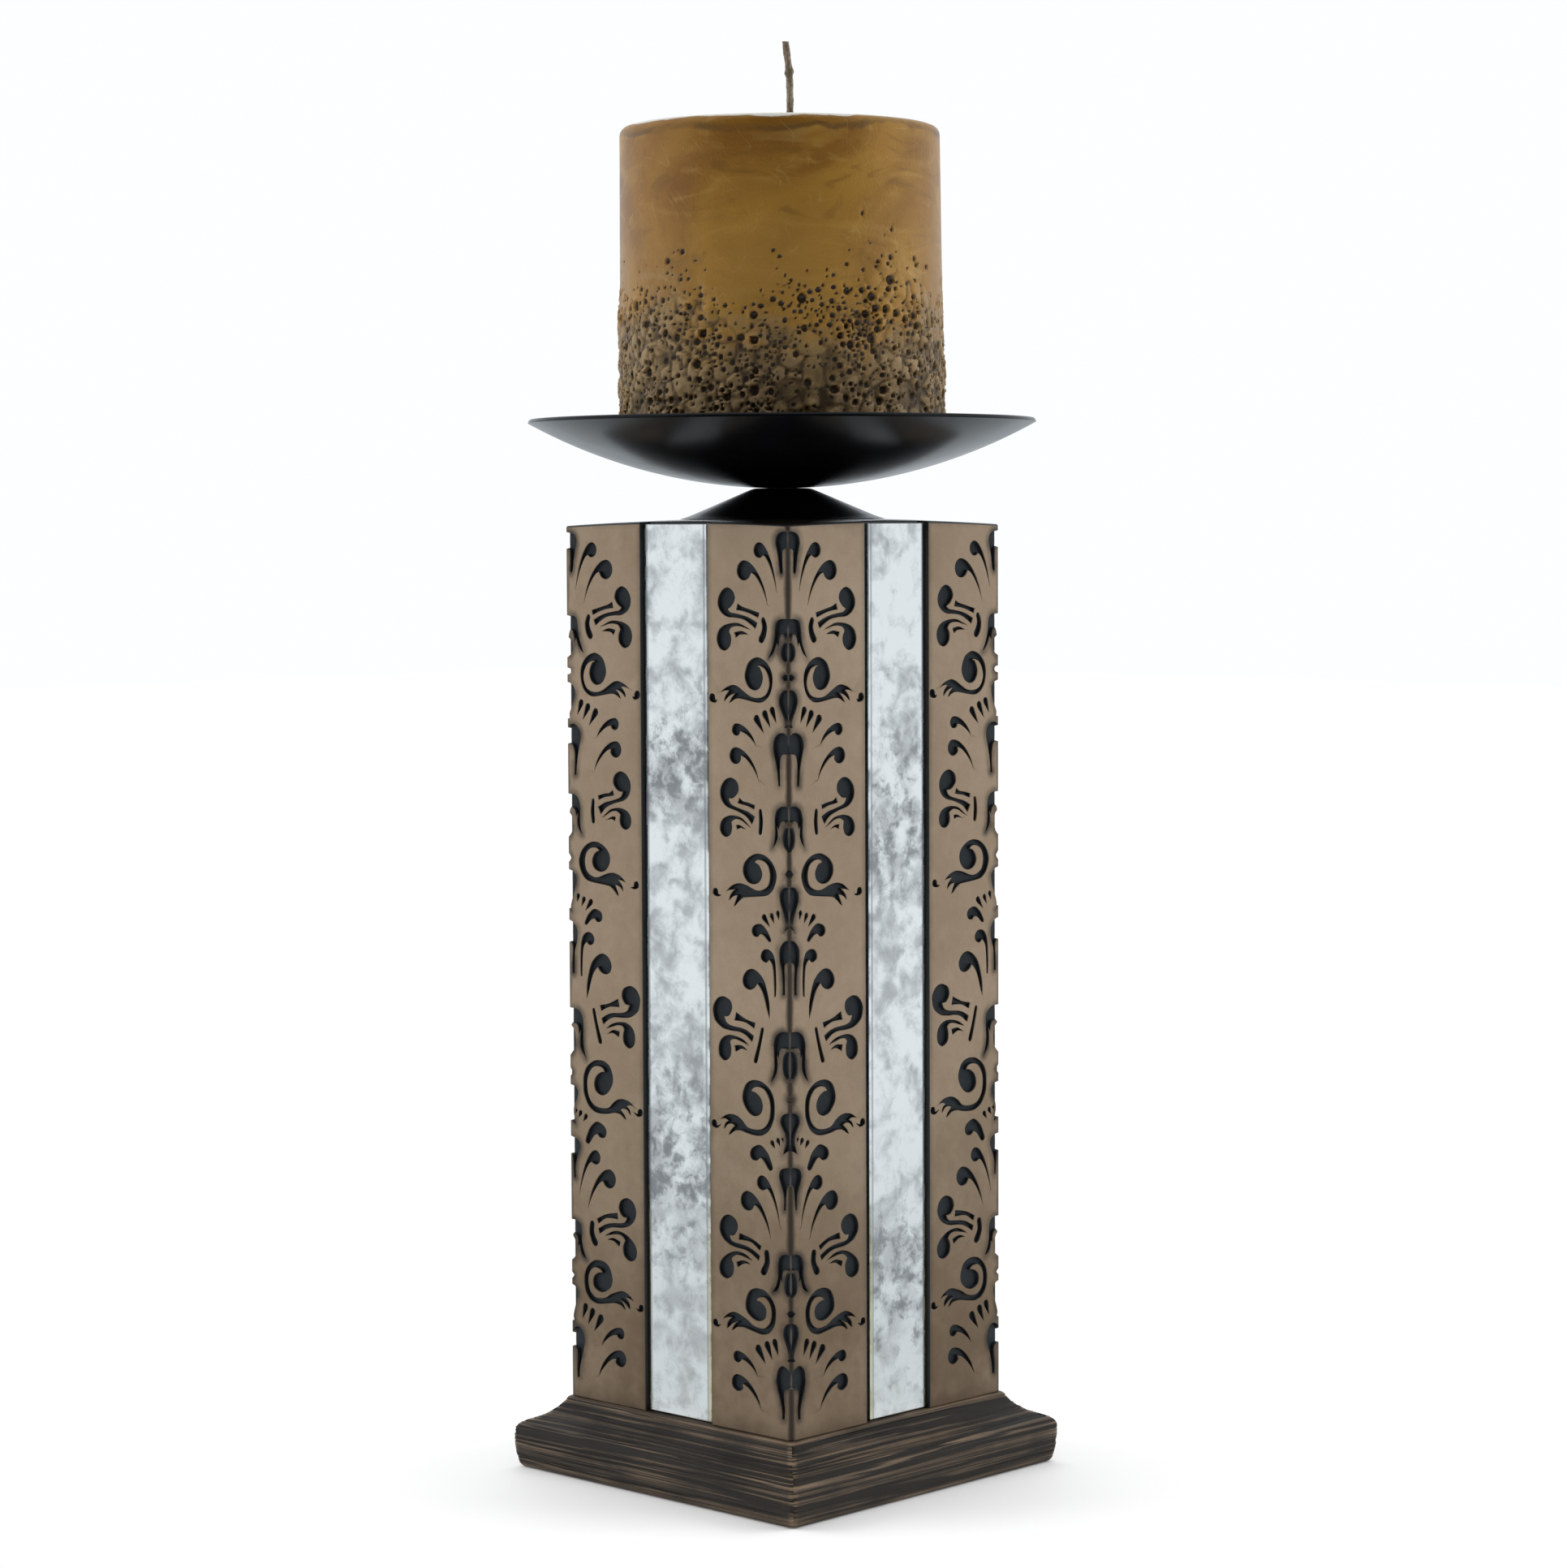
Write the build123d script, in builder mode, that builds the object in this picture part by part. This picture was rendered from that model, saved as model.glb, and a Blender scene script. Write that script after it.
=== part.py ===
from build123d import *
import math
import os

# Pillar candle holder: a square cast column with a mirror strip let into each face, standing on a
# moulded plinth and carrying a shallow spun dish on a bell-shaped collar. A pillar candle stands
# loose in the dish. Millimetres, +Z up, origin at the middle of the underside, faces square to X and Y.

# Heights above the table
plinth_rim = 0.2
plinth_height = 17.0
crown_height = 226.55
dish_base = 233.5
candle_base = 240.43
candle_height = 78.6

# Plinth: half widths of its moulded edge, from the top lip down to the foot
lip_half = 36.9
quirk_half = 37.6
cove_half = 41.0
belt_half = 46.5
foot_half = 45.0
quirk_height = 16.1
lip_round = 0.6
cove_height = 12.7
shoulder_half = 45.3
shoulder_height = 10.8
belt_top = 9.2
belt_bottom = 6.0
foot_top = 1.0
foot_top_half = 45.7
plinth_corner_round = 1.5
felt_half = 42.0
felt_thickness = 2.0
felt_corner = 6.0
felt_gap = 0.3

# Column: square casting, hollow from below, with a slightly domed top
column_half = 36.4
arris_round = 0.8
crown_radius = 773.0
channel_width = 21.6
channel_depth = 3.1
column_wall = 7.0
hollow_corner = 12.0
ceiling_height = 206.0
spigot_gap = 0.3
spigot_height = 5.0

# Carving: the main figures cut round every corner, each as (distance from the corner, height) of its
# round head, the head's radius, and the same for the tip of its tail. The bells lie across the corner.
carving_depth = 0.85
figures = (
    ((9.0, 219.2), 1.75, (3.6, 209.9)),
    ((13.8, 214.6), 2.25, (6.4, 206.8)),
    ((19.4, 208.3), 2.5, (10.6, 202.8)),
    ((20.2, 198.7), 2.25, (12.0, 201.2)),
    ((18.0, 187.2), 1.3, (9.6, 185.2)),
    ((16.8, 172.5), 1.9, (9.5, 167.2)),
    ((18.8, 164.8), 2.6, (11.2, 158.4)),
    ((19.9, 155.9), 2.0, (12.1, 156.8)),
    ((16.3, 141.6), 1.7, (8.0, 141.3)),
    ((12.8, 121.6), 2.3, (6.5, 113.2)),
    ((21.2, 114.3), 2.7, (11.8, 108.2)),
    ((20.7, 104.7), 2.2, (13.0, 106.7)),
    ((17.8, 88.6), 1.5, (9.8, 86.6)),
    ((9.0, 75.4), 1.7, (3.5, 66.0)),
    ((13.7, 70.7), 2.25, (6.5, 62.9)),
    ((19.7, 64.0), 2.6, (10.0, 58.2)),
    ((20.4, 54.5), 2.3, (12.1, 57.1)),
    ((17.0, 42.8), 1.4, (9.4, 41.1)),
    ((16.9, 28.2), 1.95, (9.5, 23.0)),
)
volutes = ((10.9, 190.3), (11.4, 146.8), (11.9, 93.8), (10.7, 46.8))
volute_head = 2.9
band_outer = 5.3
band_inner = 4.2
bells = ((219.5, 223.4), (199.8, 203.7), (173.4, 177.9), (157.5, 161.4), (126.2, 131.2), (106.4, 110.4))
low_bells = ((75.5, 79.6), (55.9, 59.6), (29.0, 33.6))
bell_reach = 4.0
carving_overrun = 1.0

# Mirror strips: thin glass on two runs of foam tape, recessed below the panels. The strip in the
# right face is cut narrower than the other three, and each lies against the far side of its channel.
mirror_thickness = 1.3
mirror_recess = 1.0
mirror_bottom = 17.2
mirror_top = 225.3
mirror_width = 20.5
narrow_mirror_width = 19.4
mirror_gap = 0.1
tape_width = 6.0
tape_spacing = 11.0
tape_end_margin = 6.0

# Collar: spun sheet bell under the dish
collar_base = 226.27
collar_top_radius = 6.0
collar_shoulder = (7.8, 233.06)
collar_skirt = (21.0, 227.42)
collar_rim_radius = 24.1
collar_wall = 1.1

# Dish: spun shallow bowl, part of a sphere
dish_radius = 59.9
dish_rim_height = 248.9
dish_wall = 1.0
dish_hole = 3.3

# Dish fixing: screw and washer in the dish, threaded insert in the column
washer_radius = 6.25
washer_hole = 3.2
washer_thickness = 1.2
head_radius = 5.25
head_height = 3.0
shank_radius = 3.0
thread_gap = 0.05
screw_tip = 211.5
insert_radius = 4.5
insert_bottom = 213.0
insert_top = 225.5
socket_across = 4.0
socket_depth = 1.8

# Four screws up through the plinth into the corners of the column
fixing_offset = 28.0
fixing_shank = 1.75
fixing_clearance = 2.1
fixing_head = 3.5
fixing_head_height = 2.4
fixing_well = 4.2
fixing_head_seat = 8.0
fixing_reach = 30.0
cross_length = 4.0
cross_width = 1.0
cross_depth = 1.2

# Candle, its wick and the tab that anchors the wick
candle_foot_radius = 38.2
candle_top_radius = 37.5
candle_foot_round = 1.5
candle_top_round = 2.0
pit_radius = 1.7
pit_depth = 0.9
pit_count = 14
pit_heights = (246.0, 253.0, 260.0)
wick_radius = 0.95
wick_gap = 0.05
wick_lean = 2.2
wick_bend_height = 331.0
wick_tip_lean = 1.15
wick_tip_height = 338.4
wick_bend_radius = 30.0
view_angle = 43.65
tab_radius = 12.0
tab_thickness = 0.4
tab_neck_radius = 1.6
tab_neck_height = 6.0

# Worked-out sizes
hollow_half = column_half - channel_depth - column_wall
channel_floor = column_half - channel_depth
glass_face = column_half - mirror_recess
glass_back = glass_face - mirror_thickness
dish_rise = dish_rim_height - dish_base
dish_sphere = (dish_radius**2 + dish_rise**2) / (2 * dish_rise)
dish_centre = dish_base + dish_sphere
dish_inner_sphere = dish_sphere - dish_wall
washer_base = dish_centre - math.sqrt(dish_inner_sphere**2 - washer_radius**2)
head_base = washer_base + washer_thickness
candle_top = candle_base + candle_height
pit_centre = candle_foot_radius - pit_depth + pit_radius
wick_x = wick_lean * math.cos(math.radians(view_angle))
wick_y = wick_lean * math.sin(math.radians(view_angle))
wick_tip_x = wick_tip_lean * math.cos(math.radians(view_angle))
wick_tip_y = wick_tip_lean * math.sin(math.radians(view_angle))
wick_foot = candle_base + tab_thickness

os.makedirs("parts", exist_ok=True)

# Plinth: the moulded edge is one outline run along X and again along Y, kept where the two meet,
# which mitres it at the corners. A square spigot on top locates the hollow column.
with BuildPart() as plinth:
    for plane, mode in ((Plane.XZ, Mode.ADD), (Plane.YZ, Mode.INTERSECT)):
        with BuildSketch(plane):
            with BuildLine():
                Polyline(
                    (0, plinth_height),
                    (lip_half, plinth_height),
                    (quirk_half, plinth_height - lip_round),
                    (quirk_half, quirk_height),
                )
                ThreePointArc(
                    (quirk_half, quirk_height),
                    (cove_half, cove_height),
                    (shoulder_half, shoulder_height),
                )
                TangentArc(
                    (shoulder_half, shoulder_height), (belt_half, belt_top), tangent=(1, -0.3)
                )
                Polyline(
                    (belt_half, belt_top),
                    (belt_half, belt_bottom),
                    (foot_top_half, foot_top),
                    (foot_half, plinth_rim),
                    (0, plinth_rim),
                )
                mirror(about=Plane.YZ)
            make_face()
        extrude(amount=2 * belt_half, both=True, mode=mode)
    with BuildSketch(Plane.XY.offset(plinth_rim)):
        RectangleRounded(2 * belt_half, 2 * belt_half, plinth_corner_round)
    extrude(amount=plinth_height - plinth_rim, mode=Mode.INTERSECT)
    with BuildSketch(Plane.XY.offset(plinth_height)):
        RectangleRounded(
            2 * (hollow_half - spigot_gap),
            2 * (hollow_half - spigot_gap),
            hollow_corner - spigot_gap,
        )
    extrude(amount=spigot_height)
    with BuildSketch(Plane.XY):
        RectangleRounded(
            2 * (felt_half + felt_gap), 2 * (felt_half + felt_gap), felt_corner + felt_gap
        )
    extrude(amount=felt_thickness, mode=Mode.SUBTRACT)
    with BuildSketch(Plane.XY):
        with GridLocations(2 * fixing_offset, 2 * fixing_offset, 2, 2):
            Circle(fixing_well)
    extrude(amount=fixing_head_seat, mode=Mode.SUBTRACT)
    with BuildSketch(Plane.XY.offset(fixing_head_seat)):
        with GridLocations(2 * fixing_offset, 2 * fixing_offset, 2, 2):
            Circle(fixing_clearance)
    extrude(amount=plinth_height, mode=Mode.SUBTRACT)
plinth.part.label = "plinth"
export_step(plinth.part, "parts/plinth.step")

# Felt pad glued in the shallow recess under the plinth. It stands just proud of the plinth's rim.
with BuildPart() as felt_pad:
    with BuildSketch(Plane.XY):
        RectangleRounded(2 * felt_half, 2 * felt_half, felt_corner)
    extrude(amount=felt_thickness)
felt_pad.part.label = "felt_pad"
export_step(felt_pad.part, "parts/felt_pad.step")

# Column: a domed square casting with a mirror channel down the middle of every face, a hollow
# open at the bottom, a pilot hole in each thick corner and a bored seat for the insert on top.
with BuildPart() as column:
    with BuildSketch(Plane.XY.offset(plinth_height)):
        Rectangle(2 * column_half, 2 * column_half)
    extrude(amount=crown_height - plinth_height)
    fillet(column.edges().filter_by(Axis.Z), radius=arris_round)
    with Locations((0, 0, crown_height - crown_radius)):
        Sphere(crown_radius, mode=Mode.INTERSECT)
    with BuildSketch(Plane.XY.offset(plinth_height)):
        with PolarLocations(column_half, 4):
            Rectangle(2 * channel_depth, channel_width)
    extrude(amount=crown_height - plinth_height, mode=Mode.SUBTRACT)
    with BuildSketch(Plane.XY.offset(plinth_height)):
        RectangleRounded(2 * hollow_half, 2 * hollow_half, hollow_corner)
    extrude(amount=ceiling_height - plinth_height, mode=Mode.SUBTRACT)
    with BuildSketch(Plane.XY.offset(plinth_height)):
        with GridLocations(2 * fixing_offset, 2 * fixing_offset, 2, 2):
            Circle(fixing_shank + thread_gap)
    extrude(amount=fixing_reach - plinth_height + 1, mode=Mode.SUBTRACT)
    with BuildSketch(Plane.XY.offset(insert_bottom)):
        Circle(insert_radius)
    extrude(amount=crown_height - insert_bottom, mode=Mode.SUBTRACT)
    with BuildSketch(Plane.XY.offset(screw_tip - 1)):
        Circle(shank_radius + thread_gap)
    extrude(amount=crown_height - screw_tip, mode=Mode.SUBTRACT)
    with BuildSketch() as carving:
        for (head_u, head_z), head_r, (tip_u, tip_z) in figures:
            reach = math.dist((head_u, head_z), (tip_u, tip_z))
            heading = math.degrees(math.atan2(tip_z - head_z, head_u - tip_u))
            spread = math.degrees(math.acos(head_r / reach))
            with Locations((column_half - head_u, head_z)):
                Circle(head_r)
            with BuildLine():
                head = CenterArc((column_half - head_u, head_z), head_r, heading - spread, 2 * spread)
                Polyline(head @ 0, (column_half - tip_u, tip_z), head @ 1)
            make_face()
        for volute_u, volute_z in volutes:
            with Locations((column_half - volute_u, volute_z)):
                Circle(volute_head)
            with BuildLine():
                outer_band = CenterArc((column_half - volute_u, volute_z), band_outer, -90, 180)
                inner_band = CenterArc((column_half - volute_u, volute_z), band_inner, -90, 180)
                Line(outer_band @ 0, inner_band @ 0)
                Line(outer_band @ 1, inner_band @ 1)
            make_face()
        for bell_low, bell_high in bells + low_bells:
            with Locations((column_half - bell_reach, bell_low)):
                Rectangle(
                    bell_reach + carving_overrun, bell_high - bell_low, align=(Align.MIN, Align.MIN)
                )
        mirror(about=Plane.YZ)
    for angle in (0, 90, 180, 270):
        outward = Vector(1, 0, 0).rotate(Axis.Z, angle)
        sideways = Vector(0, 1, 0).rotate(Axis.Z, angle)
        with BuildSketch(Plane(outward * column_half, x_dir=sideways, z_dir=outward)):
            add(carving.sketch)
        extrude(amount=-carving_depth, mode=Mode.SUBTRACT)
column.part.label = "column"
export_step(column.part, "parts/column.step")

# Mirror strips and the two runs of foam tape behind each. Each face has its outward direction
# along X of its own plane, and the strip is pushed against the side away from the front corner.
faces = (
    ("front", -90, mirror_width, -1),
    ("right", 0, narrow_mirror_width, 1),
    ("back", 90, mirror_width, 1),
    ("left", 180, mirror_width, -1),
)
for side, angle, width, push in faces:
    shift = push * (channel_width / 2 - mirror_gap - width / 2)
    with BuildPart() as glass_strip:
        with BuildSketch(Plane.XY.offset(mirror_bottom).rotated((0, 0, angle))):
            with Locations((glass_back + mirror_thickness / 2, shift)):
                Rectangle(mirror_thickness, width)
        extrude(amount=mirror_top - mirror_bottom)
        chamfer(glass_strip.edges().filter_by(Axis.Z), length=0.15)
    glass_strip.part.label = f"mirror_{side}"
    export_step(glass_strip.part, f"parts/mirror_{side}.step")

    with BuildPart() as foam_tape:
        with BuildSketch(
            Plane.XY.offset(mirror_bottom + tape_end_margin).rotated((0, 0, angle))
        ):
            with Locations(((channel_floor + glass_back) / 2, shift)):
                with GridLocations(0, tape_spacing, 1, 2):
                    Rectangle(glass_back - channel_floor, tape_width)
        extrude(amount=mirror_top - mirror_bottom - 2 * tape_end_margin)
    foam_tape.part.label = f"mirror_tape_{side}"
    export_step(foam_tape.part, f"parts/mirror_tape_{side}.step")

# Collar: a bell of spun sheet, drawn here as a turned ring of even wall, clamped between the
# column's crown and the dish.
with BuildPart() as collar:
    with BuildSketch(Plane.XZ):
        with BuildLine():
            Line((dish_hole, dish_base), (collar_top_radius, dish_base))
            Spline(
                (collar_top_radius, dish_base),
                collar_shoulder,
                tangents=((1, 0), (1, -0.43)),
            )
            Line(collar_shoulder, collar_skirt)
            Spline(
                collar_skirt,
                (collar_rim_radius, collar_base + 0.1),
                tangents=((1, -0.43), (1, -0.25)),
            )
            Polyline(
                (collar_rim_radius, collar_base + 0.1),
                (collar_rim_radius, collar_base),
                (collar_rim_radius - 2 * collar_wall, collar_base),
                (collar_skirt[0] - collar_wall / 2, collar_skirt[1] - collar_wall),
                (collar_shoulder[0] - collar_wall / 2, collar_shoulder[1] - collar_wall),
                (collar_top_radius, dish_base - collar_wall),
                (dish_hole, dish_base - collar_wall),
                (dish_hole, dish_base),
            )
        make_face()
    revolve(axis=Axis.Z)
collar.part.label = "collar"
export_step(collar.part, "parts/collar.step")

# Dish: a cap of a thin spherical shell with a fixing hole and a softened rim.
with BuildPart() as dish:
    with BuildSketch(Plane.XZ):
        with BuildLine():
            outer = CenterArc(
                (0, dish_centre),
                dish_sphere,
                -90,
                math.degrees(math.asin(dish_radius / dish_sphere)),
            )
            inner = CenterArc(
                (0, dish_centre),
                dish_inner_sphere,
                -90,
                math.degrees(math.asin(dish_radius / dish_sphere)),
            )
            Line(outer @ 1, inner @ 1)
            Line(outer @ 0, inner @ 0)
        make_face()
    revolve(axis=Axis.Z)
    with BuildSketch(Plane.XY.offset(dish_base - 1)):
        Circle(dish_hole)
    extrude(amount=dish_wall + 2, mode=Mode.SUBTRACT)
    fillet(dish.edges().group_by(Axis.Z)[-1], radius=dish_wall * 0.35)
dish.part.label = "dish"
export_step(dish.part, "parts/dish.step")

# Washer that spreads the screw's load over the curve of the dish.
with BuildPart() as dish_washer:
    with BuildSketch(Plane.XY.offset(washer_base)):
        Circle(washer_radius)
        Circle(washer_hole, mode=Mode.SUBTRACT)
    extrude(amount=washer_thickness)
dish_washer.part.label = "dish_washer"
export_step(dish_washer.part, "parts/dish_washer.step")

# Button-head screw with a hexagon socket, down through dish and collar into the insert.
with BuildPart() as dish_screw:
    with BuildSketch(Plane.XY.offset(head_base)):
        Circle(head_radius)
    extrude(amount=head_height)
    fillet(dish_screw.edges().sort_by(Axis.Z)[-1], radius=head_height * 0.7)
    with BuildSketch(Plane.XY.offset(screw_tip)):
        Circle(shank_radius)
    extrude(amount=head_base - screw_tip)
    chamfer(dish_screw.edges().sort_by(Axis.Z)[0], length=0.6)
    with BuildSketch(Plane.XY.offset(head_base + head_height)):
        RegularPolygon(socket_across / 2, 6, major_radius=False)
    extrude(amount=-socket_depth, mode=Mode.SUBTRACT)
dish_screw.part.label = "dish_screw"
export_step(dish_screw.part, "parts/dish_screw.step")

# Brass threaded insert moulded into the crown of the column.
with BuildPart() as top_insert:
    with BuildSketch(Plane.XY.offset(insert_bottom)):
        Circle(insert_radius)
        Circle(shank_radius + thread_gap, mode=Mode.SUBTRACT)
    extrude(amount=insert_top - insert_bottom)
top_insert.part.label = "top_insert"
export_step(top_insert.part, "parts/top_insert.step")

# Four pan-head screws from the underside of the plinth into the corners of the column.
with BuildPart() as column_screws:
    with BuildSketch(Plane.XY.offset(fixing_head_seat - fixing_head_height)):
        with GridLocations(2 * fixing_offset, 2 * fixing_offset, 2, 2):
            Circle(fixing_head)
    extrude(amount=fixing_head_height)
    fillet(column_screws.edges().group_by(Axis.Z)[0], radius=fixing_head_height * 0.4)
    with BuildSketch(Plane.XY.offset(fixing_head_seat)):
        with GridLocations(2 * fixing_offset, 2 * fixing_offset, 2, 2):
            Circle(fixing_shank)
    extrude(amount=fixing_reach - fixing_head_seat)
    chamfer(column_screws.edges().group_by(Axis.Z)[-1], length=fixing_shank * 0.6)
    with BuildSketch(Plane.XY.offset(fixing_head_seat - fixing_head_height)):
        with GridLocations(2 * fixing_offset, 2 * fixing_offset, 2, 2):
            Rectangle(cross_length, cross_width)
            Rectangle(cross_width, cross_length)
    extrude(amount=cross_depth, mode=Mode.SUBTRACT)
column_screws.part.label = "column_screws"
export_step(column_screws.part, "parts/column_screws.step")

# Candle: a poured wax pillar, a little narrower at the top, standing loose on the curve of the
# dish, with the bore that the wick fills and a seat for the wick's tab underneath.
with BuildPart() as candle_wax:
    with BuildSketch(Plane.XZ):
        with BuildLine():
            Polyline(
                (0, candle_base),
                (candle_foot_radius, candle_base),
                (candle_top_radius, candle_top),
                (0, candle_top),
                close=True,
            )
        make_face()
    revolve(axis=Axis.Z)
    fillet(candle_wax.edges().group_by(Axis.Z)[0], radius=candle_foot_round)
    fillet(candle_wax.edges().group_by(Axis.Z)[-1], radius=candle_top_round)
    with BuildSketch(Plane.XY.offset(candle_base)):
        with Locations((wick_x, wick_y)):
            Circle(tab_radius + wick_gap)
    extrude(amount=tab_thickness, mode=Mode.SUBTRACT)
    with BuildSketch(Plane.XY.offset(candle_base)):
        with Locations((wick_x, wick_y)):
            Circle(tab_neck_radius + wick_gap)
    extrude(amount=tab_thickness + tab_neck_height, mode=Mode.SUBTRACT)
    with BuildSketch(Plane.XY.offset(candle_base)):
        with Locations((wick_x, wick_y)):
            Circle(wick_radius + wick_gap)
    extrude(amount=candle_height, mode=Mode.SUBTRACT)
    for row, pit_height in enumerate(pit_heights):
        with Locations((0, 0, pit_height)):
            with PolarLocations(pit_centre, pit_count, start_angle=row * 180 / pit_count):
                Sphere(pit_radius, mode=Mode.SUBTRACT)
candle_wax.part.label = "candle_wax"
export_step(candle_wax.part, "parts/candle_wax.step")

# Wick tab: a pressed tin disc with a short crimped neck round the foot of the wick.
with BuildPart() as wick_tab:
    with BuildSketch(Plane.XY.offset(candle_base)):
        with Locations((wick_x, wick_y)):
            Circle(tab_radius)
    extrude(amount=tab_thickness)
    with BuildSketch(Plane.XY.offset(candle_base + tab_thickness)):
        with Locations((wick_x, wick_y)):
            Circle(tab_neck_radius)
            Circle(wick_radius + wick_gap, mode=Mode.SUBTRACT)
    extrude(amount=tab_neck_height)
wick_tab.part.label = "wick_tab"
export_step(wick_tab.part, "parts/wick_tab.step")

# Wick: a waxed cotton cord, straight through the wax and leaning over near its tip.
with BuildPart() as wick:
    with BuildLine():
        FilletPolyline(
            (wick_x, wick_y, wick_foot),
            (wick_x, wick_y, wick_bend_height),
            (wick_tip_x, wick_tip_y, wick_tip_height),
            radius=wick_bend_radius,
        )
    with BuildSketch(Plane.XY.offset(wick_foot)):
        with Locations((wick_x, wick_y)):
            Circle(wick_radius)
    sweep()
wick.part.label = "wick"
export_step(wick.part, "parts/wick.step")
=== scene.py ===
import math

import bpy
import numpy as np
from mathutils import Matrix, Vector, kdtree
from mathutils.geometry import delaunay_2d_cdt


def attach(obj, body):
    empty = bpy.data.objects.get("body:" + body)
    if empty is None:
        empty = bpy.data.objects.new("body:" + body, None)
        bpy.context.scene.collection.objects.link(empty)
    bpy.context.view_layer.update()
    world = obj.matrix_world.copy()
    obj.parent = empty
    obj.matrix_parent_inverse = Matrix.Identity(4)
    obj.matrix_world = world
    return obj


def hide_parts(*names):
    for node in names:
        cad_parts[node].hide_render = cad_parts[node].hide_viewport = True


# Pillar candle holder: a carved square column with antiqued mirror strips let into its faces, a
# moulded plinth under it, and a black dish on a bell collar that carries an amber pillar candle.
# Shapes are worked out in millimetres and scaled once as each mesh is made.
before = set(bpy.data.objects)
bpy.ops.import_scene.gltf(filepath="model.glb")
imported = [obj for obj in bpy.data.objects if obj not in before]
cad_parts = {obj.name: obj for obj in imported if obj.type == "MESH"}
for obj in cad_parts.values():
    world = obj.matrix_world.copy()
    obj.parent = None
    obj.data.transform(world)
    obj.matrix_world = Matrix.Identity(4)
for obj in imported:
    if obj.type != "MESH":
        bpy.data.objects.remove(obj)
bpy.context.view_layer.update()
mm = 0.001

# Camera: at the photograph's place, a little above the middle of the column and facing its front
# corner. Distances in millimetres, worked out from the column's and the dish's edges.
lens_pixels, frame_pixels = 4950.1, 1932
camera_angle, camera_pitch, camera_roll = (math.radians(a) for a in (43.651, 3.696, -0.2465))
camera_reach, camera_height = 952.27, 224.97
ahead = Vector((
    -math.sin(camera_angle) * math.cos(camera_pitch),
    math.cos(camera_angle) * math.cos(camera_pitch),
    -math.sin(camera_pitch),
))
level = Vector((math.cos(camera_angle), math.sin(camera_angle), 0))
upward = level.cross(ahead)
rightward = level * math.cos(camera_roll) + upward * math.sin(camera_roll)
upward = upward * math.cos(camera_roll) - level * math.sin(camera_roll)
camera = bpy.data.objects.new("camera", bpy.data.cameras.new("camera"))
bpy.context.scene.collection.objects.link(camera)
camera.data.sensor_width = 36
camera.data.lens = lens_pixels * camera.data.sensor_width / frame_pixels
camera.data.clip_start = 0.01
camera.matrix_world = Matrix.Translation(Vector((
    math.sin(camera_angle) * camera_reach, -math.cos(camera_angle) * camera_reach, camera_height
)) * mm) @ Matrix((rightward, upward, -ahead)).transposed().to_4x4()
bpy.context.scene.camera = camera
bpy.context.scene.view_settings.view_transform = "Standard"

# Floor and light: a white table that runs out of sight in a white room. The room itself gives a
# plain level light, dimmer on the camera's side, and looks white to the camera, mirror and glass.
def add_node(tree, kind, settings=None, inputs=None):
    """One shader node. Its inputs take a value, or a socket to be linked."""
    made = tree.nodes.new("ShaderNode" + kind)
    for key, value in (settings or {}).items():
        setattr(made, key, value)
    for key, value in (inputs or {}).items():
        if isinstance(value, bpy.types.NodeSocket):
            tree.links.new(value, made.inputs[key])
        else:
            made.inputs[key].default_value = value
    return made


def calc(tree, operation, a, b=0.0, clamp=False):
    return add_node(tree, "Math", {"operation": operation, "use_clamp": clamp}, {0: a, 1: b}).outputs[0]


def ramp(tree, value, low, high, to_low=0.0, to_high=1.0):
    """Smooth step of a value between two limits."""
    return add_node(tree, "MapRange", {"interpolation_type": "SMOOTHSTEP"},
                    {0: value, 1: low, 2: high, 3: to_low, 4: to_high}).outputs[0]


def mix(tree, mask, a, b, way="MIX"):
    """Colour a to colour b by a mask."""
    return add_node(tree, "Mix", {"data_type": "RGBA", "blend_type": way}, {0: mask, 6: a, 7: b}).outputs[2]


def sees_room(tree):
    """1 for camera, gloss and glass rays, which see the room as white."""
    path = add_node(tree, "LightPath")
    seen = calc(tree, "ADD", path.outputs["Is Camera Ray"], path.outputs["Is Glossy Ray"])
    return calc(tree, "ADD", seen, path.outputs["Is Transmission Ray"], True)


room = bpy.data.worlds.new("room")
room.use_nodes = True
bpy.context.scene.world = room
room_light, front_light, front_gloss = 0.85, 0.26, 0.05
front_from, front_to = 0.1, 0.85  # how squarely a direction faces the camera's side
floor_glow, white_from, white_to = 0.08, 0.07, 0.12  # metres from the object's middle
tree = room.node_tree
way = add_node(tree, "TexCoord").outputs["Generated"]
front = add_node(tree, "VectorMath", {"operation": "DOT_PRODUCT"},
                 {0: way, 1: (math.sin(camera_angle), -math.cos(camera_angle), 0)}).outputs["Value"]
front = ramp(tree, front, front_from, front_to)
gloss = ramp(tree, front, 0, 1, 1.0, front_gloss)
seen = ramp(tree, add_node(tree, "LightPath").outputs["Is Glossy Ray"], 0, 1, 1.0, gloss)
light = ramp(tree, front, 0, 1, room_light, front_light)
tree.links.new(ramp(tree, sees_room(tree), 0, 1, light, seen), tree.nodes["Background"].inputs["Strength"])
tint = mix(tree, add_node(tree, "LightPath").outputs["Is Glossy Ray"],
           (0.985, 0.993, 1, 1), (0.87, 0.94, 1, 1))
tree.links.new(tint, tree.nodes["Background"].inputs["Color"])

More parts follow.
